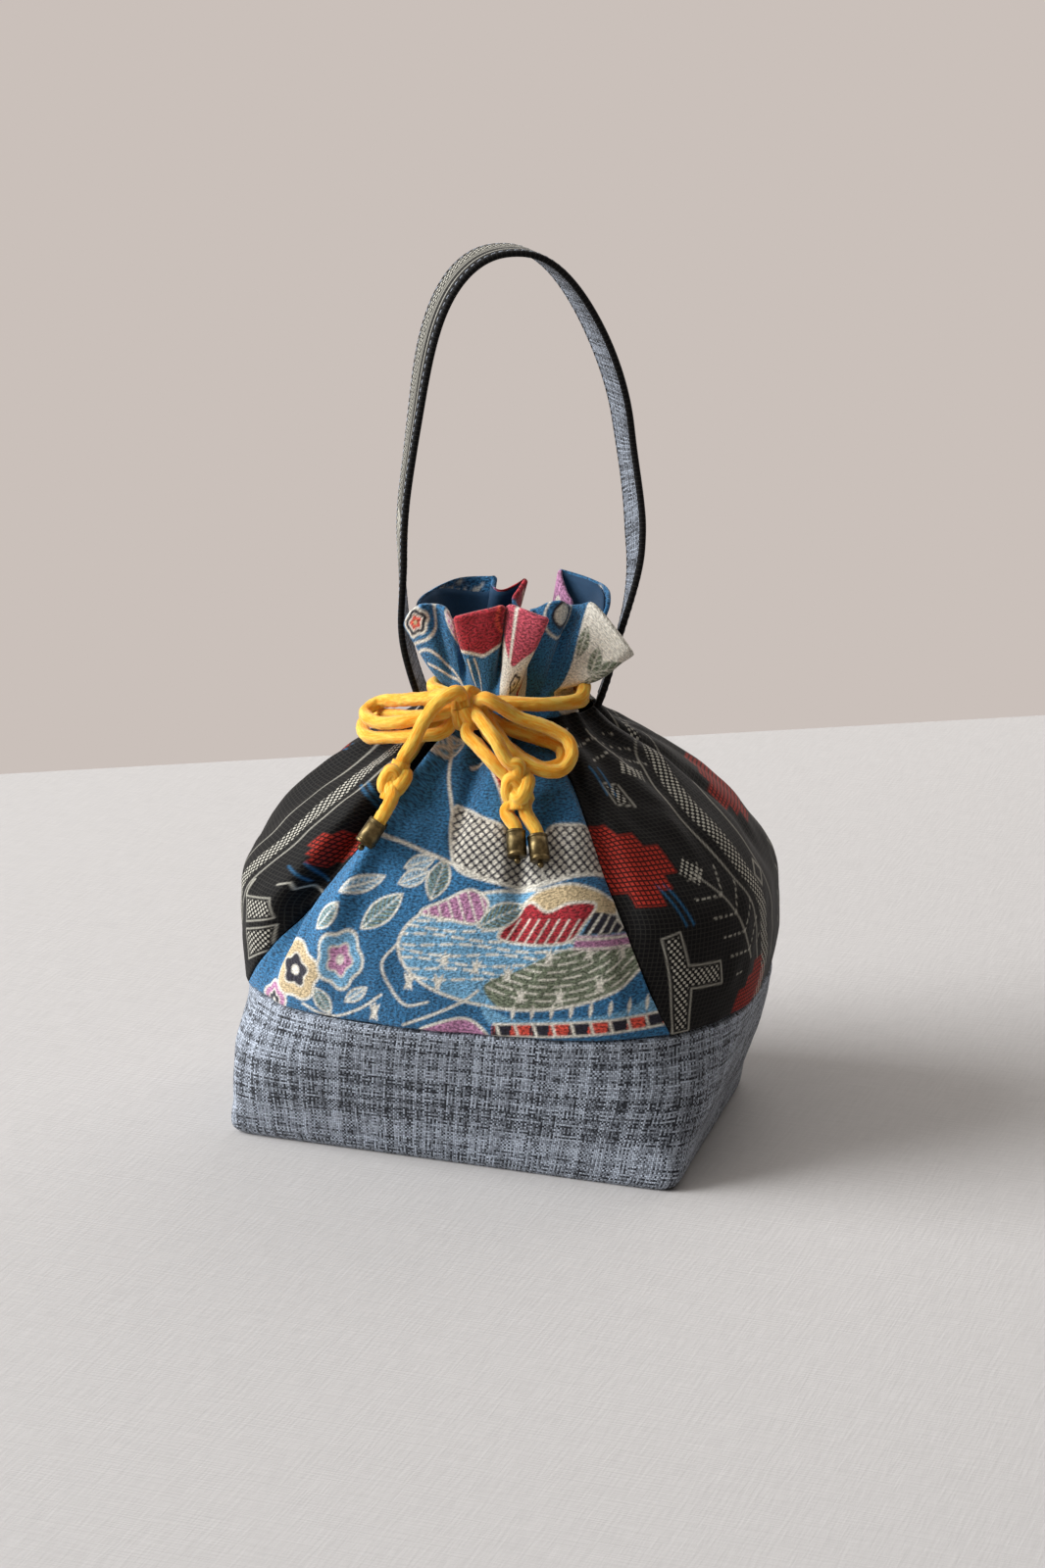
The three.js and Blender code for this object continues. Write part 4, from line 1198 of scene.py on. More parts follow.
def transported(line):
    """Two directions across a line at each point, turned as little as possible along it."""
    tangent = unit(np.gradient(line, axis=0))
    first = np.empty_like(line)
    start = np.cross(tangent[0], [0.3, 0.2, 1])
    first[0] = start / np.linalg.norm(start)
    for i in range(1, len(line)):
        side = first[i - 1] - tangent[i] * (first[i - 1] @ tangent[i])
        first[i] = side / np.linalg.norm(side)
    return first, np.cross(tangent, first)


# Faces round a cord, steps along it and its unevenness as shares of the radius
SIDES = 32
STRAND_STEP = 0.6
CASING_STEP = 1.2
SWELL = 0.035
PLIES = 5
PLY_DEPTH = 0.022
WOOL = 0.05
TUFTS = 0.03


def tube_object(name, line, diameter, surface, seed):
    """Soft cord along a line, with round ends and a slightly uneven thickness."""
    count = len(line)
    a, b = transported(line)
    angle = np.linspace(0, 2 * np.pi, SIDES, endpoint=False)
    along = run_length(line)
    soft = 1 + SWELL * value_noise(along / 6, along * 0, seed)
    round_cord, far = angle[None, :], along[:, None]
    ply = 1 + PLY_DEPTH * np.cos(PLIES * round_cord + far * 0.35)
    wool = WOOL * value_noise(far / 2.4, round_cord * 5.5 + far * 0.45, seed + 40)
    tufts = TUFTS * value_noise(far / 0.9, round_cord * 3 - far * 0.3, seed + 60)
    radius = diameter / 2 * soft[:, None] * (ply + wool + tufts)
    ring = line[:, None] + radius[..., None] * (
        np.cos(angle)[None, :, None] * a[:, None] + np.sin(angle)[None, :, None] * b[:, None])
    points, faces = closed_rings(ring, line[0], line[-1])
    face_width = np.pi * diameter / SIDES
    corners = []
    for i in range(count - 1):
        for j in range(SIDES):
            low, high = j * face_width, (j + 1) * face_width
            corners += [(along[i], low), (along[i], high), (along[i + 1], high), (along[i + 1], low)]
    for j in range(SIDES):
        for end in (0, along[-1]):
            corners += [(end, j * face_width), (end, j * face_width), (end, 0)]
    return make_object(name, points, faces, surface, corners)


def dress(piece, slot, *nodes):
    """Puts a finished piece on the bag's one body in place of its solids."""
    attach(piece, "root")
    if nodes:
        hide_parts(*nodes)
    return piece


class HANDBAG_OT_cords(bpy.types.Operator):
    """Drawcords, bow, knots and brass ends"""
    bl_idname = "handbag.cords"
    bl_label = "Cords"

    def execute(self, context):
        yellow = material("cord", cord_material)
        brass = material("brass", brass_material)
        routes = {"left": neck_route(-1, 1, KNOT_REACH["left"] - KNOT_ANGLE),
                  "right": neck_route(1, -1, KNOT_REACH["right"] + KNOT_ANGLE)}
        ends = {}
        for name in ENDS:
            piece = cap_object(f"brass_end_{name}", *cord_end_place(name), brass)
            ends[name] = dress(piece, "brass", f"cord_end_{name}")
        knots = {}
        for seed, side in enumerate(("left", "right")):
            knots[side] = overhand_knot(f"tail_tie_{side}", tail_knot_middle(side), side, yellow, seed)
            dress(knots[side], "cord", f"tail_knot_{side}")
        bow = bow_wrap("bow_tie", yellow)
        dress(bow, "cord", "bow_knot")
        strands = {"left_front": "near", "left_rear": "far", "right_outer": "near", "right_inner": "far"}
        for seed, (name, which) in enumerate(strands.items()):
            side = name.split("_")[0]
            near, _, far = routes[side]
            out = near[::-1] if which == "near" else far
            line = smooth_line(strand_route(name, out), STRAND_STEP)
            piece = tube_object(f"cord_{name}", line, CORD, yellow, seed)
            dress(piece, "cord", LOOP_NODES[name], f"tail_{name}", f"tip_{name}")
            riders = [ends[name]] + ([knots[side]] if which == "near" else [])
            if name == "left_front":
                riders.append(bow)
        for seed, (side, (near, ring, far)) in enumerate(routes.items()):
            line = smooth_line([near[-1], *ring, far[0]], CASING_STEP)
            piece = tube_object(f"casing_cord_{side}", line, CORD, yellow, 20 + seed)
            dress(piece, "cord", f"drawcord_{side}")
        return {"FINISHED"}


def ring_line(middle, axis, radius, tilt, count=90):
    """Closed line round an axis that leans to and fro along it, for a turn of cord."""
    axis = unit(np.asarray(axis, float))
    a = unit(np.cross(axis, [0, 0.2, 1]))
    b = np.cross(axis, a)
    t = np.linspace(0, 2 * np.pi, count)
    return (np.asarray(middle) + radius * np.cos(t)[:, None] * a + radius * np.sin(t)[:, None] * b
            + tilt * np.cos(t + 0.6)[:, None] * axis)


def joined(name, pieces):
    """One object from several that share a material."""
    with bpy.context.temp_override(active_object=pieces[0], selected_editable_objects=pieces):
        bpy.ops.object.join()
    pieces[0].name = name
    pieces[0].data.name = name
    return pieces[0]


def bow_wrap(name, surface):
    """The bow's knot: a broad turn of cord and a thinner one beside it, round a tight middle."""
    across = np.array([0.97, 0.05, 0.22])
    radius, half, core_width = 5.6, 7, 9
    turns = []
    for k, (x, lean, width) in enumerate(((-3.6, 1.2, CORD), (0.9, -1.6, CORD * 1.12))):
        line = ring_line(KNOT + across * x, across, radius, lean)
        turns.append(tube_object("turn", line, width, surface, 40 + k))
    core_line = smooth_line([KNOT - across * half, KNOT, KNOT + across * half], 1)
    return joined(name, [*turns, tube_object("core", core_line, core_width, surface, 44)])


# Tail knots: the way the tails leave, the spread of the turns and the thickness of the core
TIES = {"left": ([-0.25, -0.35, -1], 1.25, 7), "right": ([0.15, -0.3, -1], 1.45, 9)}
TIE_HALF = 7.5
TIE_RISE = 3.4


def overhand_knot(name, middle, side, surface, seed):
    """Overhand knot: the cord crosses over itself and wraps round the tail."""
    way, wide, core_width = TIES[side]
    t = np.linspace(0, 2 * np.pi, 160)
    down = unit(np.array(way))
    a = unit(np.cross(down, [0, 1, 0]))
    b = np.cross(down, a)
    x, y, z = np.sin(t) + 2 * np.sin(2 * t), np.cos(t) - 2 * np.cos(2 * t), -np.sin(3 * t)
    line = middle + wide * x[:, None] * a * 0.92 + wide * y[:, None] * b + TIE_RISE * z[:, None] * down
    core = smooth_line([middle - down * TIE_HALF, middle, middle + down * TIE_HALF], 1)
    knot = tube_object("turn", line, CORD * 1.14, surface, 50 + seed)
    return joined(name, [knot, tube_object("core", core, core_width, surface, 54 + seed)])


def cap_object(name, mouth, direction, surface):
    """Brass cord end: a cup with a rolled rim, a shoulder and a small ball."""
    outer, bore = CAP_DIAMETER / 2, CORD / 2 + GAP
    foot, ball = CAP_LENGTH, CAP_BALL / 2
    # Radius and distance from the mouth: bore, rolled rim, groove, wall, groove, shoulder, neck and ball
    profile = [
        (0, CAP_GRIP), (bore, CAP_GRIP), (bore, 0.3), (bore + 0.3, 0.05), (outer - 0.25, 0), (outer, 0.25),
        (outer, 1.0), (outer - 0.22, 1.2), (outer - 0.22, 1.5), (outer - 0.05, 1.7),
        (outer - 0.05, foot - 2.0), (outer - 0.25, foot - 1.8), (outer - 0.25, foot - 1.5),
        (outer, foot - 1.25), (outer, foot - 0.5), (outer - 0.5, foot - 0.05), (1.4, foot),
        (0.75, foot + 0.15),
    ]
    for t in np.radians(np.linspace(35, 172, 9)):
        profile.append((ball * math.sin(t), foot + 0.1 + ball * (1 - math.cos(t))))
    profile.append((0, foot + 0.1 + CAP_BALL))
    sides = 36
    a = unit(np.cross(direction, [0.3, 1, 0.1]))
    b = np.cross(direction, a)
    angle = np.linspace(0, 2 * np.pi, sides, endpoint=False)
    around = np.cos(angle)[:, None] * a + np.sin(angle)[:, None] * b
    rings = np.array([mouth + direction * z + r * around for r, z in profile[1:-1]])
    points, faces = closed_rings(rings, *(mouth + direction * z for r, z in (profile[0], profile[-1])))
    piece = make_object(name, points, faces, surface)
    piece.data.set_sharp_from_angle(angle=math.radians(50))
    return piece


# Cloth pieces

# Creases: angle and height at the neck, angle and height where it fades, depth, width
CREASES = [
    (-37, 164, -55, 40, 9.5, 5.5), (-30, 162, -38, 46, -5, 6), (-14, 162, -8, 100, 2.4, 4),
    (9, 162, 14, 80, 4.5, 5), (24, 160, 28, 70, -1.5, 8), (33, 162, 42, 64, 4.0, 5),
    (-70, 158, -78, 96, 2.6, 8), (-100, 158, -112, 92, 2.4, 8), (62, 158, 66, 90, 2.4, 7),
    (84, 158, 94, 84, 2.6, 8), (112, 158, 120, 88, 2.4, 8), (150, 160, 140, 74, 2.6, 7),
    (172, 160, 168, 88, 2.4, 6), (196, 160, 204, 90, 2.6, 7), (222, 160, 228, 70, 2.6, 7),
]
CREASE_TOP_WIDTH = 0.45
CREASE_WIDENS = 0.9
CREASE_FADE = 0.55

# Pleats: how many go round, how deep, where they start and over what height they reach their depth
PLEATS = 19
PLEAT_DEPTH = 1.5
PLEAT_FULLNESS = 0.6
PLEAT_START = 118
PLEAT_RISE = 36

# Dents of the gathered cloth: height, spacing across and up, seed
DENTS = ((0.8, 16, 22, 5), (0.35, 6, 9, 6))

# Sideways shift of the print for each degree of the panels' lean, so that it stands upright
PRINT_SHIFT = 1.55


def creases(alpha, z):
    """Depth of the creases that run down from the neck."""
    depth = np.zeros(np.broadcast(alpha, z).shape)
    reach = np.maximum(through(z, 1), 20)
    for top_angle, top, low_angle, low, deep, wide in CREASES:
        t = np.clip((top - z) / (top - low), 0, 1)
        away = wrap(alpha - mix(top_angle, low_angle, t), -180) * np.pi / 180 * reach
        shape = np.exp(-(away / (wide * (CREASE_TOP_WIDTH + CREASE_WIDENS * t))) ** 2)
        depth -= deep * shape * ramp((1 - t) / CREASE_FADE)
    return depth


def pleats(alpha, z):
    """Fine gathers drawn in by the cords."""
    turn = PLEATS * alpha + 34 * np.sin(np.radians(3 * alpha + 40))
    wave = np.cos(np.radians(turn + 22 * np.sin(np.radians(5 * alpha))))
    drawn = ramp((z - PLEAT_START) / PLEAT_RISE)
    return -PLEAT_DEPTH * (0.5 - 0.5 * wave) ** 2 * drawn + PLEAT_FULLNESS * drawn


def body_cloth(middle, half_angle, rows, cols):
    """Grid of one body panel with its folds: points, normals and millimetres across and up."""
    z = np.linspace(BAND_HEIGHT, CASING_LOW, rows)[:, None]
    alpha = middle + panel_turn(z) + half_angle(z) * np.linspace(-1, 1, cols)[None, :]
    z = np.broadcast_to(z, alpha.shape)
    smooth = cloth(alpha, z)
    u, v = arc_lengths(smooth)
    lift = creases(alpha, z) + pleats(alpha, z)
    lift += sum(high * value_noise(u / across, v / up, seed) for high, across, up, seed in DENTS)
    seam = size("seam")
    side = np.abs(u[:, :1]) - np.abs(u)
    lift -= np.maximum(edge_roll(side, seam), edge_roll(v, seam))
    normal = grid_normals(smooth)
    return smooth + normal * lift[..., None], normal, u, v


def declare_sheet(points):
    """Measures a cloth piece's lengths across and up its middle; nothing is done with them."""
    u, v = arc_lengths(points)


class HANDBAG_OT_panels(bpy.types.Operator):
    """Front, back and side panels"""
    bl_idname = "handbag.panels"
    bl_label = "Panels"

    def execute(self, context):
        crepe = material("crepe", crepe_material)
        dark = material("dark", dark_woven_material)

        def side_angle(z):
            return 90 - panel_angle(z)

        for name, node, middle, mirror, rows, cols in (
                ("front_cloth", "front_panel", 0, 1, 220, 301),
                ("back_cloth", "back_panel", 180, -1, 150, 203)):
            points, normal, u, v = body_cloth(middle, panel_angle, rows, cols)
            height = v / v.max() * (CASING_LOW - BAND_HEIGHT) + BAND_HEIGHT
            paint = Paint((u + panel_turn(height) * PRINT_SHIFT) * mirror, v, "blue")
            landscape_print(paint)
            self.sew(name, node, points, normal, u, v, {"print": paint.colour}, crepe, "print_cloth")
        for name, node, middle, front in (
                ("left_cloth", "left_side_panel", -90, 1), ("right_cloth", "right_side_panel", 90, -1)):
            points, normal, u, v = body_cloth(middle, side_angle, 199, 271)
            paint = Paint(u * front, v, "dark")
            dots, figure = woven_figures(paint, FIGURES[name.split("_")[0]])
            values = {"print": paint.colour, "dots": dots, "figure": figure}
            self.sew(name, node, points, normal, u, v, values, dark, "dark_cloth")
        return {"FINISHED"}

    def sew(self, name, node, points, normal, u, v, values, surface, slot):
        """Makes one panel of its grid and prints."""
        inner = points - normal * CLOTH
        piece = sheet_object(name, points, inner, surface, np.stack([u, v], -1), values)
        dress(piece, slot, node)
        declare_sheet(points)


# Base: dents and ripples of its wall, and a crushed strip above the foot with its height and half width
BASE_DENT = 0.7
BASE_RIPPLE = 0.25
CRUSH_DEPTH = 0.36
CRUSH_HEIGHT = 8
CRUSH_HALF = 6


class HANDBAG_OT_base(bpy.types.Operator):
    """Boxed base of grey slub cloth"""
    bl_idname = "handbag.base"
    bl_label = "Base"

    def execute(self, context):
        columns = base_columns(96)
        foot_rows = [0, 0.35, 0.8, 1.4, 2.2]
        heights = np.concatenate([foot_rows, np.linspace(3.2, BAND_HEIGHT, 62)])
        alpha, z = np.meshgrid(columns, heights)
        wall = cloth(alpha, z)
        steps = np.linalg.norm(np.diff(wall, axis=1), axis=2)
        u = np.concatenate([np.zeros((len(heights), 1)), np.cumsum(steps, 1)], 1)
        broad, fine = value_noise(u / 26, z / 18, 11), value_noise(u / 7, z / 7, 12)
        lift = BASE_DENT * broad * ramp(z / 12) + BASE_RIPPLE * fine
        lift -= edge_roll(BAND_HEIGHT - z, size("seam"))
        crushed = value_noise(u / 14, z * 0, 13) > 0.2
        lift -= CRUSH_DEPTH * ramp((CRUSH_HALF - np.abs(z - CRUSH_HEIGHT)) / CRUSH_HALF) * crushed
        outward = unit(np.stack([wall[..., 0], wall[..., 1], wall[..., 2] * 0], -1))
        wall = wall + outward * (lift * ramp((z - 0.2) / 6))[..., None]
        inside = wall[::-6] - outward[::-6] * CLOTH
        inside[-1] = wall[0] * [0.97, 0.97, 1] + [0, 0, CLOTH]
        floor = [wall[0] * [s, s, 1] for s in np.linspace(0.06, 0.96, 16)]
        top = [inside[-1] * [s, s, 0] + [0, 0, CLOTH] for s in np.linspace(0.9, 0.1, 8)]
        rings = np.concatenate([floor, wall, inside, top])[:, :-1]
        count = rings.shape[1]
        points, faces = closed_rings(rings, [0, 0, 0], [0, 0, CLOTH])
        u = (u - u[:, u.shape[1] // 2, None]) * (u[-1, -1] / u[:, -1:])
        wall_rows = range(len(floor), len(floor) + len(heights) - 1)
        corners = []
        for face_index, face in enumerate(faces):
            row, column = divmod(face_index, count)
            if row in wall_rows:
                low = row - len(floor)
                corners += [(u[low + i, column + j], heights[low + i])
                            for i, j in ((0, 0), (0, 1), (1, 1), (1, 0))]
            else:
                corners += [tuple(points[v][:2]) for v in face]
        piece = make_object("base_cover", points, faces, material("slub", slub_material), corners)
        dress(piece, "grey_cloth", "base_cloth")
        return {"FINISHED"}


def base_columns(per_side):
    """Angles round the base, closer together at its four corners."""
    front = math.degrees(math.atan2(BASE_WIDTH / 2, BASE_FRONT))
    back = 180 - math.degrees(math.atan2(BASE_WIDTH / 2, BASE_BACK))
    corners = np.array([-back, -front, front, back])
    fine = np.linspace(-180, 180, 7201)
    closer, spread = 9, 3
    weight = 1 + sum(closer / (1 + (wrap(fine - c, -180) / spread) ** 2) for c in corners)
    run = np.concatenate([[0], np.cumsum(weight[:-1])])
    return np.interp(np.linspace(0, run[-1], 4 * per_side + 1), run, fine)


# Rim of the frill, fold by fold, as the camera sees it from above:
# millimetres to the right, towards the viewer, height, bend of the flare (1 is straight), drop of the lining
FRONT_RIM = [
    (-35, 4, 189, 0.8, 1), (-37, 10, 190, 0.8, 1), (-40, 13.5, 192, 0.75, 1), (-38.5, 17.5, 197, 0.75, 1),
    (-33, 20, 201.5, 0.8, 1), (-28, 17.5, 201, 0.9, 1), (-24.5, 21, 200, 0.9, 1), (-20.5, 21.5, 196, 0.9, 1),
    (-18.5, 14, 196, 1, 1), (-19, 21, 198, 1, 1), (-21, 26.5, 198.5, 0.9, 2), (-19.5, 28.5, 199, 0.9, 3),
    (-4, 30.5, 203, 0.9, 3), (-2, 29, 203, 0.9, 2), (-1.5, 18, 200, 1, 1), (-1.8, 26, 203, 1, 1),
    (-0.5, 29.5, 203.5, 0.9, 2), (13, 34, 199.5, 0.9, 2), (14.5, 32, 199, 0.9, 2), (10.5, 22, 198, 1, 1),
    (8.5, 16.5, 199, 1, 1), (12.5, 19.5, 202, 0.9, 2), (19, 18.5, 202.5, 0.9, 3), (22, 13.5, 200, 1, 2),
    (22.5, 9, 199, 1, 1), (26, 11, 200, 0.9, 1), (28.5, 16.5, 202, 0.7, 1), (33, 21.5, 199, 0.55, 1),
    (43.5, 28.5, 187, 0.5, 1), (45.5, 26, 184.5, 0.5, 1), (41.5, 19.5, 184, 0.6, 1), (36, 14, 186, 0.7, 1),
]
BACK_RIM = [
    (34, 5, 190, 0.8, 2), (37.5, -2, 197, 0.8, 4), (37.5, -10, 200, 0.8, 3), (33, -21, 201, 0.8, 1),
    (25, -30, 202, 0.8, 1), (18, -33, 203, 0.85, 1), (17.5, -30, 202.5, 0.9, 1), (20, -23, 197, 1, 1),
    (22, -17.5, 193, 1, 1), (13, -13, 188, 1, 1), (2, -17.5, 194, 1, 1), (5, -24, 198, 1, 1),
    (6.8, -28, 200, 0.9, 1), (4.5, -29.5, 200, 0.85, 1), (-4, -25.5, 197, 0.9, 1), (-6, -27, 198, 0.9, 1),
    (-5, -31, 200.5, 0.85, 3), (-8, -32, 200.5, 0.85, 6), (-20, -31, 200, 0.85, 5), (-29, -24, 198, 0.85, 1),
    (-35, -13, 196, 0.8, 1), (-36, -4, 192, 0.8, 1),
]
# Height where the flare starts, the casing's share of the cut cloth, the cloth's height, edge and waves
FLARE = NECK_HEIGHT + 3
CASING_SHARE = 0.22
FRILL_CUT = 42
FRILL_ROLL = 1.2
FRILL_RIPPLE = 0.45
FRILL_BILLOW = 0.7

# Thickness of the frill, of its lining and of the bag's lining
FRILL_CLOTH = CLOTH * 0.7
FRILL_LINING = 0.6
LINING_CLOTH = 0.8


def frill_grid(rim, start, stop, rows, cols, low=0.0, dropped=False):
    """Frill cloth from the casing to its folded rim, with millimetres along the rim and up the cloth."""
    line = smooth_line(rim, 0.3)
    place = np.linspace(0, len(line) - 1, cols)
    columns = [np.interp(place, np.arange(len(line)), column) for column in line.T]
    across, near, height, straight, drop = columns
    view = math.radians(VIEW_AZIMUTH)
    edge = np.stack([across * math.cos(view) + near * math.sin(view),
                     across * math.sin(view) - near * math.cos(view)], -1)
    alpha = np.broadcast_to(np.linspace(start, stop, cols), (rows, cols))
    t = np.linspace(low, 1, rows)[:, None] * (1 - dropped * drop / FRILL_CUT)
    w = np.clip((t - CASING_SHARE) / (1 - CASING_SHARE), 0, 1)
    z = mix(CASING_LOW, FLARE, np.minimum(t / CASING_SHARE, 1))
    neck = cloth(alpha, z)
    share = (w ** straight)[..., None]
    plan = neck[..., :2] + (edge - neck[..., :2]) * share
    points = np.concatenate([plan, (z + (height - FLARE) * w)[..., None]], -1)
    u = np.broadcast_to(run_length(edge), (rows, cols))
    v = t * FRILL_CUT
    normal = grid_normals(points)
    lift = pleats(alpha, PLEAT_START + PLEAT_RISE) * ramp((0.4 - t) / 0.25) * 0.8
    fine, broad = value_noise(u / 6, v / 10, 21), value_noise(u / 13, v / 16, 22)
    lift += FRILL_RIPPLE * fine * w + FRILL_BILLOW * broad * np.sin(np.pi * w)
    return points + normal * lift[..., None], soft_normals(normal), u, v, w


def soft_normals(normal, reach=5):
    """Normals averaged along the rows, so that a thick layer doesn't cross itself at a sharp fold."""
    cols = normal.shape[1]
    total = sum(normal[:, np.clip(np.arange(cols) + k, 0, cols - 1)] for k in range(-reach, reach + 1))
    return unit(total)


class HANDBAG_OT_frill(bpy.types.Operator):
    """Frill above the drawcords, its lining and the lining of the bag"""
    bl_idname = "handbag.frill"
    bl_label = "Frill and lining"

    def execute(self, context):
        crepe = material("crepe", crepe_material)
        teal = material("lining", lining_material)
        for side, rim, middle, half, cols, design in (
                ("front", FRONT_RIM, 0, FRONT_BAND_ANGLE, 421, front_frill_print),
                ("back", BACK_RIM, 180, BACK_BAND_ANGLE, 361, back_frill_print)):
            points, normal, u, v, _ = frill_grid(rim, middle - half, middle + half, 73, cols)
            points = points - normal * edge_roll(FRILL_CUT - v, FRILL_ROLL)[..., None]
            paint = Paint(u, v, "blue")
            design(paint)
            inner = points - normal * FRILL_CLOTH
            uv = np.stack([u, v], -1)
            piece = sheet_object(f"{side}_frill", points, inner, crepe, uv, {"print": paint.colour})
            dress(piece, "print_cloth", f"{side}_top_band")
            declare_sheet(points)
            self.frill_lining(side, rim, middle, half, teal)
        self.lining(teal)
        return {"FINISHED"}

    def frill_lining(self, side, rim, middle, half, teal):
        """Lining behind one frill, which narrows to the lining's neck."""
        points, normal, u, v, w = frill_grid(rim, middle - half, middle + half, 40, 301, CASING_SHARE, True)
        points = points - normal * CLOTH
        ring = unit(points * [1, 1, 0]) * (LINING_NECK + LINING_EASE) + points * [0, 0, 1]
        points = mix(ring, points, ramp(w / 0.35)[..., None])
        inner = points - normal * FRILL_LINING
        piece = sheet_object(f"{side}_frill_lining", points, inner, teal, np.stack([u, v], -1), {})
        dress(piece, "lining_cloth")
        declare_sheet(points)

    def lining(self, teal):
        """Inner bag from the floor up to the neck."""
        floor_z = CLOTH + GAP + 0.4
        foot_rows = [floor_z + 0.3, floor_z + 1, floor_z + 2.4]
        wall_rows = np.linspace(8, CASING_LOW - 8, 34)
        heights = np.concatenate([foot_rows, wall_rows, np.linspace(CASING_LOW - 4, FLARE + 2, 12)])
        alpha, z = np.meshgrid(np.linspace(-180, 180, 217), heights)
        skin = lining_cloth(alpha, z)
        inside = (skin - unit(skin * [1, 1, 0]) * LINING_CLOTH)[::-1]
        floor = [skin[0] * [s, s, 0] + [0, 0, floor_z] for s in np.linspace(0.1, 0.96, 8)]
        top = [ring + [0, 0, LINING_CLOTH] for ring in floor[::-1]]
        rings = np.concatenate([floor, skin, inside, top])[:, :-1]
        points, faces = closed_rings(rings, [0, 0, floor_z], [0, 0, floor_z + LINING_CLOTH])
        angle = np.degrees(np.arctan2(points[:, 1], points[:, 0]))
        uv = np.stack([angle * 1.2, points[:, 2] + np.linalg.norm(points[:, :2], axis=1) * 0.5], -1)
        piece = make_object("lining_bag", points, faces, teal, uv)
        dress(piece, "lining_cloth", "lining")
        declare_sheet(np.concatenate([floor, skin]))


# Room of the lining under the panels, its ease at the neck and how it feels for creases around a point
LINING_SLACK = 1.6
LINING_EASE = 0.6
FEEL_TURNS = (-6, -3, 0, 3, 6)
FEEL_RISES = (0, 4, 8)


def lining_cloth(alpha, z):
    """Point of the lining: it follows the cloth's creases from inside and narrows to the neck."""
    free = cloth(alpha, z, CLOTH + LINING_GAP)
    away = np.abs(z - NECK_HEIGHT) - CASING_HEIGHT / 2
    share = np.where(z < NECK_HEIGHT, ramp(away / 20), 0)
    level = np.maximum(np.linalg.norm(cloth_normal(alpha, z)[..., :2], axis=-1), 0.4)
    around = [creases(alpha + turn, z + rise) for turn in FEEL_TURNS for rise in FEEL_RISES]
    inward = np.minimum(np.min(around, axis=0), 0) / level
    slack = LINING_SLACK * ramp((z - BAND_HEIGHT) / 10)
    reach = mix(LINING_NECK, np.linalg.norm(free[..., :2], axis=-1) + inward - slack, share)
    reach = np.maximum(reach, LINING_NECK)
    reach = reach + pleats(alpha, z) * ramp((z - 140) / 20) - LINING_EASE
    angle = np.arctan2(free[..., 1], free[..., 0])
    return np.stack([reach * np.cos(angle), reach * np.sin(angle), z], -1)


# Strap

STRAP_FOOT = CASING_LOW + GAP
STRAP_FOOT_SPAN = NECK_WIDTH + 2 * (GATHER + STRAP_LAYER + 2 * GAP + STRAP_EASE)
STRAP_LOW_TURN = 31
STRAP_SPLAY = 4
STRAP_HEM = 1.6
STRAP_FACE = 1.25
STRAP_EDGE = 1.2
STITCH_DIP = 0.35
STITCH_DIP_WIDTH = 0.5
INNER_CLEAR = 0.2
INNER_SUNK = 0.25
INNER_FULLNESS = 0.2
INNER_BACK = -0.12

# Woven lines across the strap, and where its two ladders of short bars lie along it
STRAP_LINES = (-1.2, 1.0, 5.2)
STRAP_LADDERS = (66, 312)


def strap_middle(t):
    """Middle line of the strap and the angle that its width is turned to."""
    low = STRAP_MIDDLE - STRAP_FOOT
    dip = low / math.sqrt(1 - (STRAP_FOOT_SPAN / STRAP_SPAN) ** 2)
    foot = math.asin(low / dip)
    angle = mix(math.pi + foot, -foot, t)
    above = np.sin(angle) > 0
    z = STRAP_MIDDLE + np.where(above, STRAP_TOP - STRAP_MIDDLE, dip) * np.sin(angle)
    half = np.abs(np.cos(angle)) ** np.where(above, 2 / STRAP_FULLNESS, 1) * np.sign(np.cos(angle))
    lean = mix(STRAP_SWAY, -STRAP_LEAN, ramp((z - STRAP_LEAN_START) / (STRAP_TOP - STRAP_LEAN_START)))
    # Each ramp starts at a height from the frill's top and takes a height to be full
    clear = z - FRILL_TOP
    x = STRAP_SPAN / 2 * half + lean * ramp((clear + 20) / 40)
    turn = np.radians(mix(TWIST, STRAP_TOP_TURN, ramp((clear + 6) / 70)))
    width_turn = mix(TWIST, STRAP_LOW_TURN, ramp((clear + 14) / 45))
    more = (STRAP_TOP_TURN - STRAP_LOW_TURN) * ramp((clear - 42) / 60)
    width_turn += more + STRAP_SPLAY * half * ramp(clear / 30)
    return np.stack([x * np.cos(turn), x * np.sin(turn), z], -1), np.radians(width_turn)


def strap_frame(t):
    """Points of the strap's middle, its outward direction and the direction across it."""
    middle, turn = strap_middle(t)
    ahead = strap_middle(np.minimum(t + 0.002, 1))[0] - strap_middle(np.maximum(t - 0.002, 0))[0]
    across = np.stack([-np.sin(turn), np.cos(turn), 0 * turn], -1)
    out = -unit(np.cross(across, ahead))
    return middle, out, unit(np.cross(ahead, out))


def strap_band(name, profile, surface, values):
    """Closed band along the strap with the given outline across it: (across, outward) points, in order."""
    t = np.linspace(0, 1, 320)
    middle, out, across = strap_frame(t)
    profile = np.asarray(profile, float)
    rings = middle[:, None] + out[:, None] * profile[None, :, 1:] + across[:, None] * profile[None, :, :1]
    count = len(profile)
    along = run_length(middle)
    faces = grid_faces(len(t), count, closed=True)
    faces += [list(range(count))[::-1], list(range((len(t) - 1) * count, len(t) * count))]
    uv = np.stack(np.broadcast_arrays(profile[None, :, 0], along[:, None]), -1).reshape(-1, 2)
    return make_object(name, rings.reshape(-1, 3), faces, surface, uv, values(uv)), along[-1]


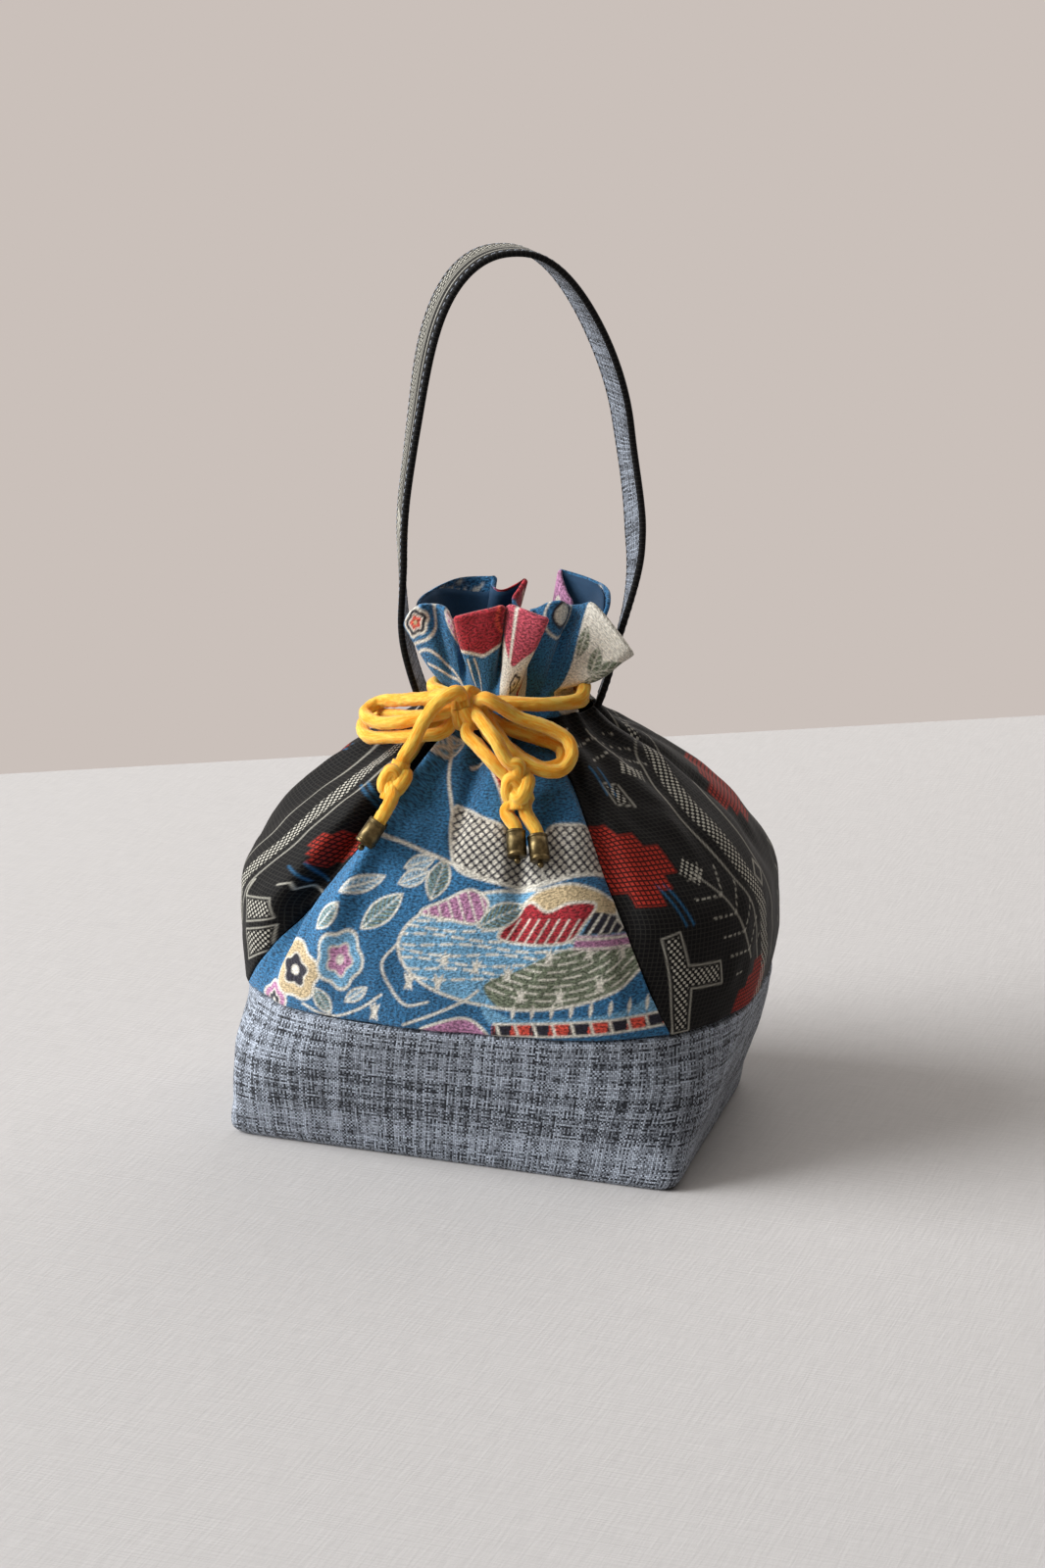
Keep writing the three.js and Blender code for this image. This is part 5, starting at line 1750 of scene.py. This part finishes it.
def strap_outer_profile():
    """Outer cloth with both edges folded round onto the inner face."""
    half, hem = STRAP_WIDTH / 2, STRAP_HEM
    top, low = STRAP_FACE, -STRAP_FACE
    x = np.linspace(-half + STRAP_EDGE, half - STRAP_EDGE, 27)
    dip = STITCH_DIP * np.exp(-((half - np.abs(x) - size("stitch_edge")) / STITCH_DIP_WIDTH) ** 2)
    face = np.stack([x, top - dip], -1)
    turn = np.radians(np.linspace(90, -90, 9))
    bend = np.stack([half - STRAP_EDGE + STRAP_EDGE * np.cos(turn), top * np.sin(turn)], -1)
    lip = [(half - hem, low), (half - hem - 0.1, low + 0.3), (half - hem - 0.1, 0)]
    right = [*bend[1:], *lip]
    left = [(-x, y) for x, y in right[::-1]]
    return [*face, *right, *left]


def strap_inner_profile():
    """Inner cloth between the two hems, a little fuller in the middle."""
    half, low = STRAP_WIDTH / 2 - STRAP_HEM - INNER_CLEAR, -STRAP_FACE
    x = np.linspace(-1, 1, 25)
    face = np.stack([half * x[::-1], low + INNER_SUNK - INNER_FULLNESS * (1 - x ** 2)], -1)
    return [(-half, INNER_BACK), (half, INNER_BACK), *face]


def stitch_tree(surface):
    """Geometry Nodes: short rounded stitches laid end to end along a line."""
    tree = bpy.data.node_groups.new("running_stitch", "GeometryNodeTree")
    tree.interface.new_socket("Line", in_out="INPUT", socket_type="NodeSocketGeometry")
    for label in ("Stitch", "Gap", "Thread"):
        tree.interface.new_socket(label, in_out="INPUT", socket_type="NodeSocketFloat")
    tree.interface.new_socket("Stitches", in_out="OUTPUT", socket_type="NodeSocketGeometry")
    nodes, links = tree.nodes, tree.links
    entry = nodes.new("NodeGroupInput")
    to_curve = nodes.new("GeometryNodeMeshToCurve")
    pitch = nodes.new("ShaderNodeMath")
    resample = nodes.new("GeometryNodeResampleCurve")
    resample.mode = "LENGTH"
    tangent = nodes.new("GeometryNodeInputTangent")
    align = nodes.new("FunctionNodeAlignRotationToVector")
    align.axis = "Z"
    bead = nodes.new("GeometryNodeMeshIcoSphere")
    bead.inputs["Subdivisions"].default_value = 1
    bead.inputs["Radius"].default_value = 0.5
    shape = nodes.new("ShaderNodeCombineXYZ")
    place = nodes.new("GeometryNodeInstanceOnPoints")
    realize = nodes.new("GeometryNodeRealizeInstances")
    paint = nodes.new("GeometryNodeSetMaterial")
    paint.inputs["Material"].default_value = surface
    leave = nodes.new("NodeGroupOutput")
    links.new(entry.outputs["Line"], to_curve.inputs[0])
    links.new(entry.outputs["Stitch"], pitch.inputs[0])
    links.new(entry.outputs["Gap"], pitch.inputs[1])
    links.new(to_curve.outputs[0], resample.inputs["Curve"])
    links.new(pitch.outputs[0], resample.inputs["Length"])
    links.new(tangent.outputs[0], align.inputs["Vector"])
    links.new(entry.outputs["Thread"], shape.inputs[0])
    links.new(entry.outputs["Thread"], shape.inputs[1])
    links.new(entry.outputs["Stitch"], shape.inputs[2])
    links.new(resample.outputs["Curve"], place.inputs["Points"])
    links.new(bead.outputs["Mesh"], place.inputs["Instance"])
    links.new(align.outputs[0], place.inputs["Rotation"])
    links.new(shape.outputs[0], place.inputs["Scale"])
    links.new(place.outputs[0], realize.inputs[0])
    links.new(realize.outputs[0], paint.inputs["Geometry"])
    links.new(paint.outputs[0], leave.inputs[0])
    return tree


def stitch_lines(name, lines, surface):
    """Stitches along several lines, made by the node tree and kept as a plain mesh."""
    points = np.concatenate(lines) * MM
    edges, start = [], 0
    for line in lines:
        edges += [(start + k, start + k + 1) for k in range(len(line) - 1)]
        start += len(line)
    mesh = bpy.data.meshes.new(name)
    mesh.from_pydata(points.tolist(), edges, [])
    piece = bpy.data.objects.new(name, mesh)
    bpy.context.collection.objects.link(piece)
    tree = stitch_tree(surface)
    modifier = piece.modifiers.new("stitches", "NODES")
    modifier.node_group = tree
    sizes = bpy.context.scene.handbag_sizes
    settings = {"Stitch": sizes.stitch, "Gap": sizes.stitch_gap, "Thread": sizes.stitch_thick}
    for item in tree.interface.items_tree:
        if item.in_out == "INPUT" and item.name in settings:
            modifier[item.identifier] = settings[item.name]
    evaluated = piece.evaluated_get(bpy.context.evaluated_depsgraph_get())
    made = bpy.data.meshes.new_from_object(evaluated)
    piece.modifiers.clear()
    piece.data = made
    made.name = name
    made.polygons.foreach_set("use_smooth", np.ones(len(made.polygons), bool))
    return piece


class HANDBAG_OT_strap(bpy.types.Operator):
    """Carrying strap of two layers, sewn along both edges"""
    bl_idname = "handbag.strap"
    bl_label = "Strap"

    def execute(self, context):
        def outer_values(uv):
            across, along = uv[:, 0], uv[:, 1]
            paint = Paint(across, along, "dark")
            for line in STRAP_LINES:
                paint.fill(np.abs(across - line) - 0.3, "thread")
            bars = np.abs(np.mod(along, 3) - 1.5) - 0.5
            for place in STRAP_LADDERS:
                ladder = np.maximum(np.abs(along - place) - 9, np.abs(across) - 5)
                paint.fill(np.maximum(bars, ladder), "thread")
            dots = np.clip(0.5 - (np.abs(across + 5.4) - 2.8), 0, 1)
            return {"print": paint.colour, "dots": dots, "figure": dots * 0}

        dark, slub = material("dark", dark_woven_material), material("slub", slub_material)
        outer, length = strap_band("strap_outer", strap_outer_profile(), dark, outer_values)
        dress(outer, "dark_cloth", "handle_outer")
        inner, _ = strap_band("strap_inner", strap_inner_profile(), slub, lambda uv: {})
        dress(inner, "grey_cloth", "handle_inner")
        middle, out, across = strap_frame(np.linspace(0.012, 0.988, 400))
        inset = STRAP_WIDTH / 2 - size("stitch_edge")
        lift = STRAP_FACE - 0.1
        lines = [middle + across * side * inset + out * face * lift for side in (-1, 1) for face in (-1, 1)]
        stitches = stitch_lines("strap_stitches", lines, material("thread", thread_material))
        dress(stitches, "grey_cloth")
        return {"FINISHED"}


class HANDBAG_OT_stage(bpy.types.Operator):
    """Camera, table and soft light"""
    bl_idname = "handbag.stage"
    bl_label = "Stage"

    def execute(self, context):
        scene = context.scene
        azimuth, elevation = math.radians(VIEW_AZIMUTH), math.radians(VIEW_ELEVATION)
        back = Vector((math.sin(azimuth) * math.cos(elevation), -math.cos(azimuth) * math.cos(elevation),
                       math.sin(elevation)))
        data = bpy.data.cameras.new("camera")
        data.lens = LENS
        data.sensor_width = SENSOR
        camera = bpy.data.objects.new("camera", data)
        camera.location = (Vector(VIEW_TARGET) + back * VIEW_DISTANCE) * MM
        camera.rotation_mode = "QUATERNION"
        camera.rotation_quaternion = (-back).to_track_quat("-Z", "Y")
        scene.collection.objects.link(camera)
        scene.camera = camera
        scene.view_settings.view_transform = "Standard"
        self.floor(scene)
        self.light(scene)
        return {"FINISHED"}

    def floor(self, scene):
        """Table top with its far edge behind the bag."""
        turn = math.radians(TABLE_TURN)
        along = Vector((math.cos(turn), math.sin(turn), 0))
        away = Vector((-math.sin(turn), math.cos(turn), 0))
        corners = [(along * x + away * y) * MM for x, y in (
            (-TABLE_HALF, -TABLE_BEFORE), (TABLE_HALF, -TABLE_BEFORE),
            (TABLE_HALF, TABLE_BEHIND), (-TABLE_HALF, TABLE_BEHIND))]
        mesh = bpy.data.meshes.new("table")
        mesh.from_pydata(corners, [], [(0, 1, 2, 3)])
        mesh.materials.append(floor_material())
        table = bpy.data.objects.new("table", mesh)
        scene.collection.objects.link(table)

    def light(self, scene):
        """Soft window light from the left, and a plain wall that the camera and reflections see."""
        world = bpy.data.worlds.new("studio")
        world.use_nodes = True
        nodes, links = world.node_tree.nodes, world.node_tree.links
        shade = nodes["Background"]
        shade.inputs["Color"].default_value = ROOM_COLOUR
        shade.inputs["Strength"].default_value = ROOM_STRENGTH
        wall = nodes.new("ShaderNodeBackground")
        wall.inputs["Color"].default_value = (*tone("wall"), 1)
        path = nodes.new("ShaderNodeLightPath")
        pick = nodes.new("ShaderNodeMixShader")
        seen = path.outputs["Is Camera Ray"]
        for ray in ("Is Glossy Ray", "Is Transmission Ray"):
            either = nodes.new("ShaderNodeMath")
            either.operation = "MAXIMUM"
            links.new(seen, either.inputs[0])
            links.new(path.outputs[ray], either.inputs[1])
            seen = either.outputs[0]
        links.new(seen, pick.inputs[0])
        links.new(shade.outputs[0], pick.inputs[1])
        links.new(wall.outputs[0], pick.inputs[2])
        links.new(pick.outputs[0], nodes["World Output"].inputs["Surface"])
        scene.world = world
        for name, place, width, watts, warmth in LAMPS:
            data = bpy.data.lights.new(name, "AREA")
            data.size = width
            data.energy = watts
            data.color = warmth
            lamp = bpy.data.objects.new(name, data)
            lamp.location = place
            lamp.rotation_mode = "QUATERNION"
            lamp.rotation_quaternion = (Vector(LAMP_AIM) - Vector(place)).to_track_quat("-Z", "Y")
            scene.collection.objects.link(lamp)


class HANDBAG_PT_sidebar(bpy.types.Panel):
    """Handbag"""
    bl_idname = "HANDBAG_PT_sidebar"
    bl_label = "Handbag"
    bl_space_type = "VIEW_3D"
    bl_region_type = "UI"
    bl_category = "Handbag"

    def draw(self, context):
        for operator in OPERATORS:
            self.layout.operator(operator.bl_idname)
        for group in (context.scene.handbag_sizes, context.scene.handbag_colours):
            for key in group.__annotations__:
                self.layout.prop(group, key)


OPERATORS = (HANDBAG_OT_stage, HANDBAG_OT_cords, HANDBAG_OT_base, HANDBAG_OT_panels, HANDBAG_OT_frill,
             HANDBAG_OT_strap)
CLASSES = (HandbagColours, HandbagSizes, *OPERATORS, HANDBAG_PT_sidebar)


def register():
    for item in CLASSES:
        bpy.utils.register_class(item)
    bpy.types.Scene.handbag_colours = bpy.props.PointerProperty(type=HandbagColours)
    bpy.types.Scene.handbag_sizes = bpy.props.PointerProperty(type=HandbagSizes)


def unregister():
    del bpy.types.Scene.handbag_sizes
    del bpy.types.Scene.handbag_colours
    for item in reversed(CLASSES):
        bpy.utils.unregister_class(item)


def main():
    """Makes the bag piece by piece."""
    register()
    bpy.ops.handbag.stage()
    bpy.ops.handbag.cords()
    bpy.ops.handbag.base()
    bpy.ops.handbag.panels()
    bpy.ops.handbag.frill()
    bpy.ops.handbag.strap()


if __name__ == "__main__":
    main()
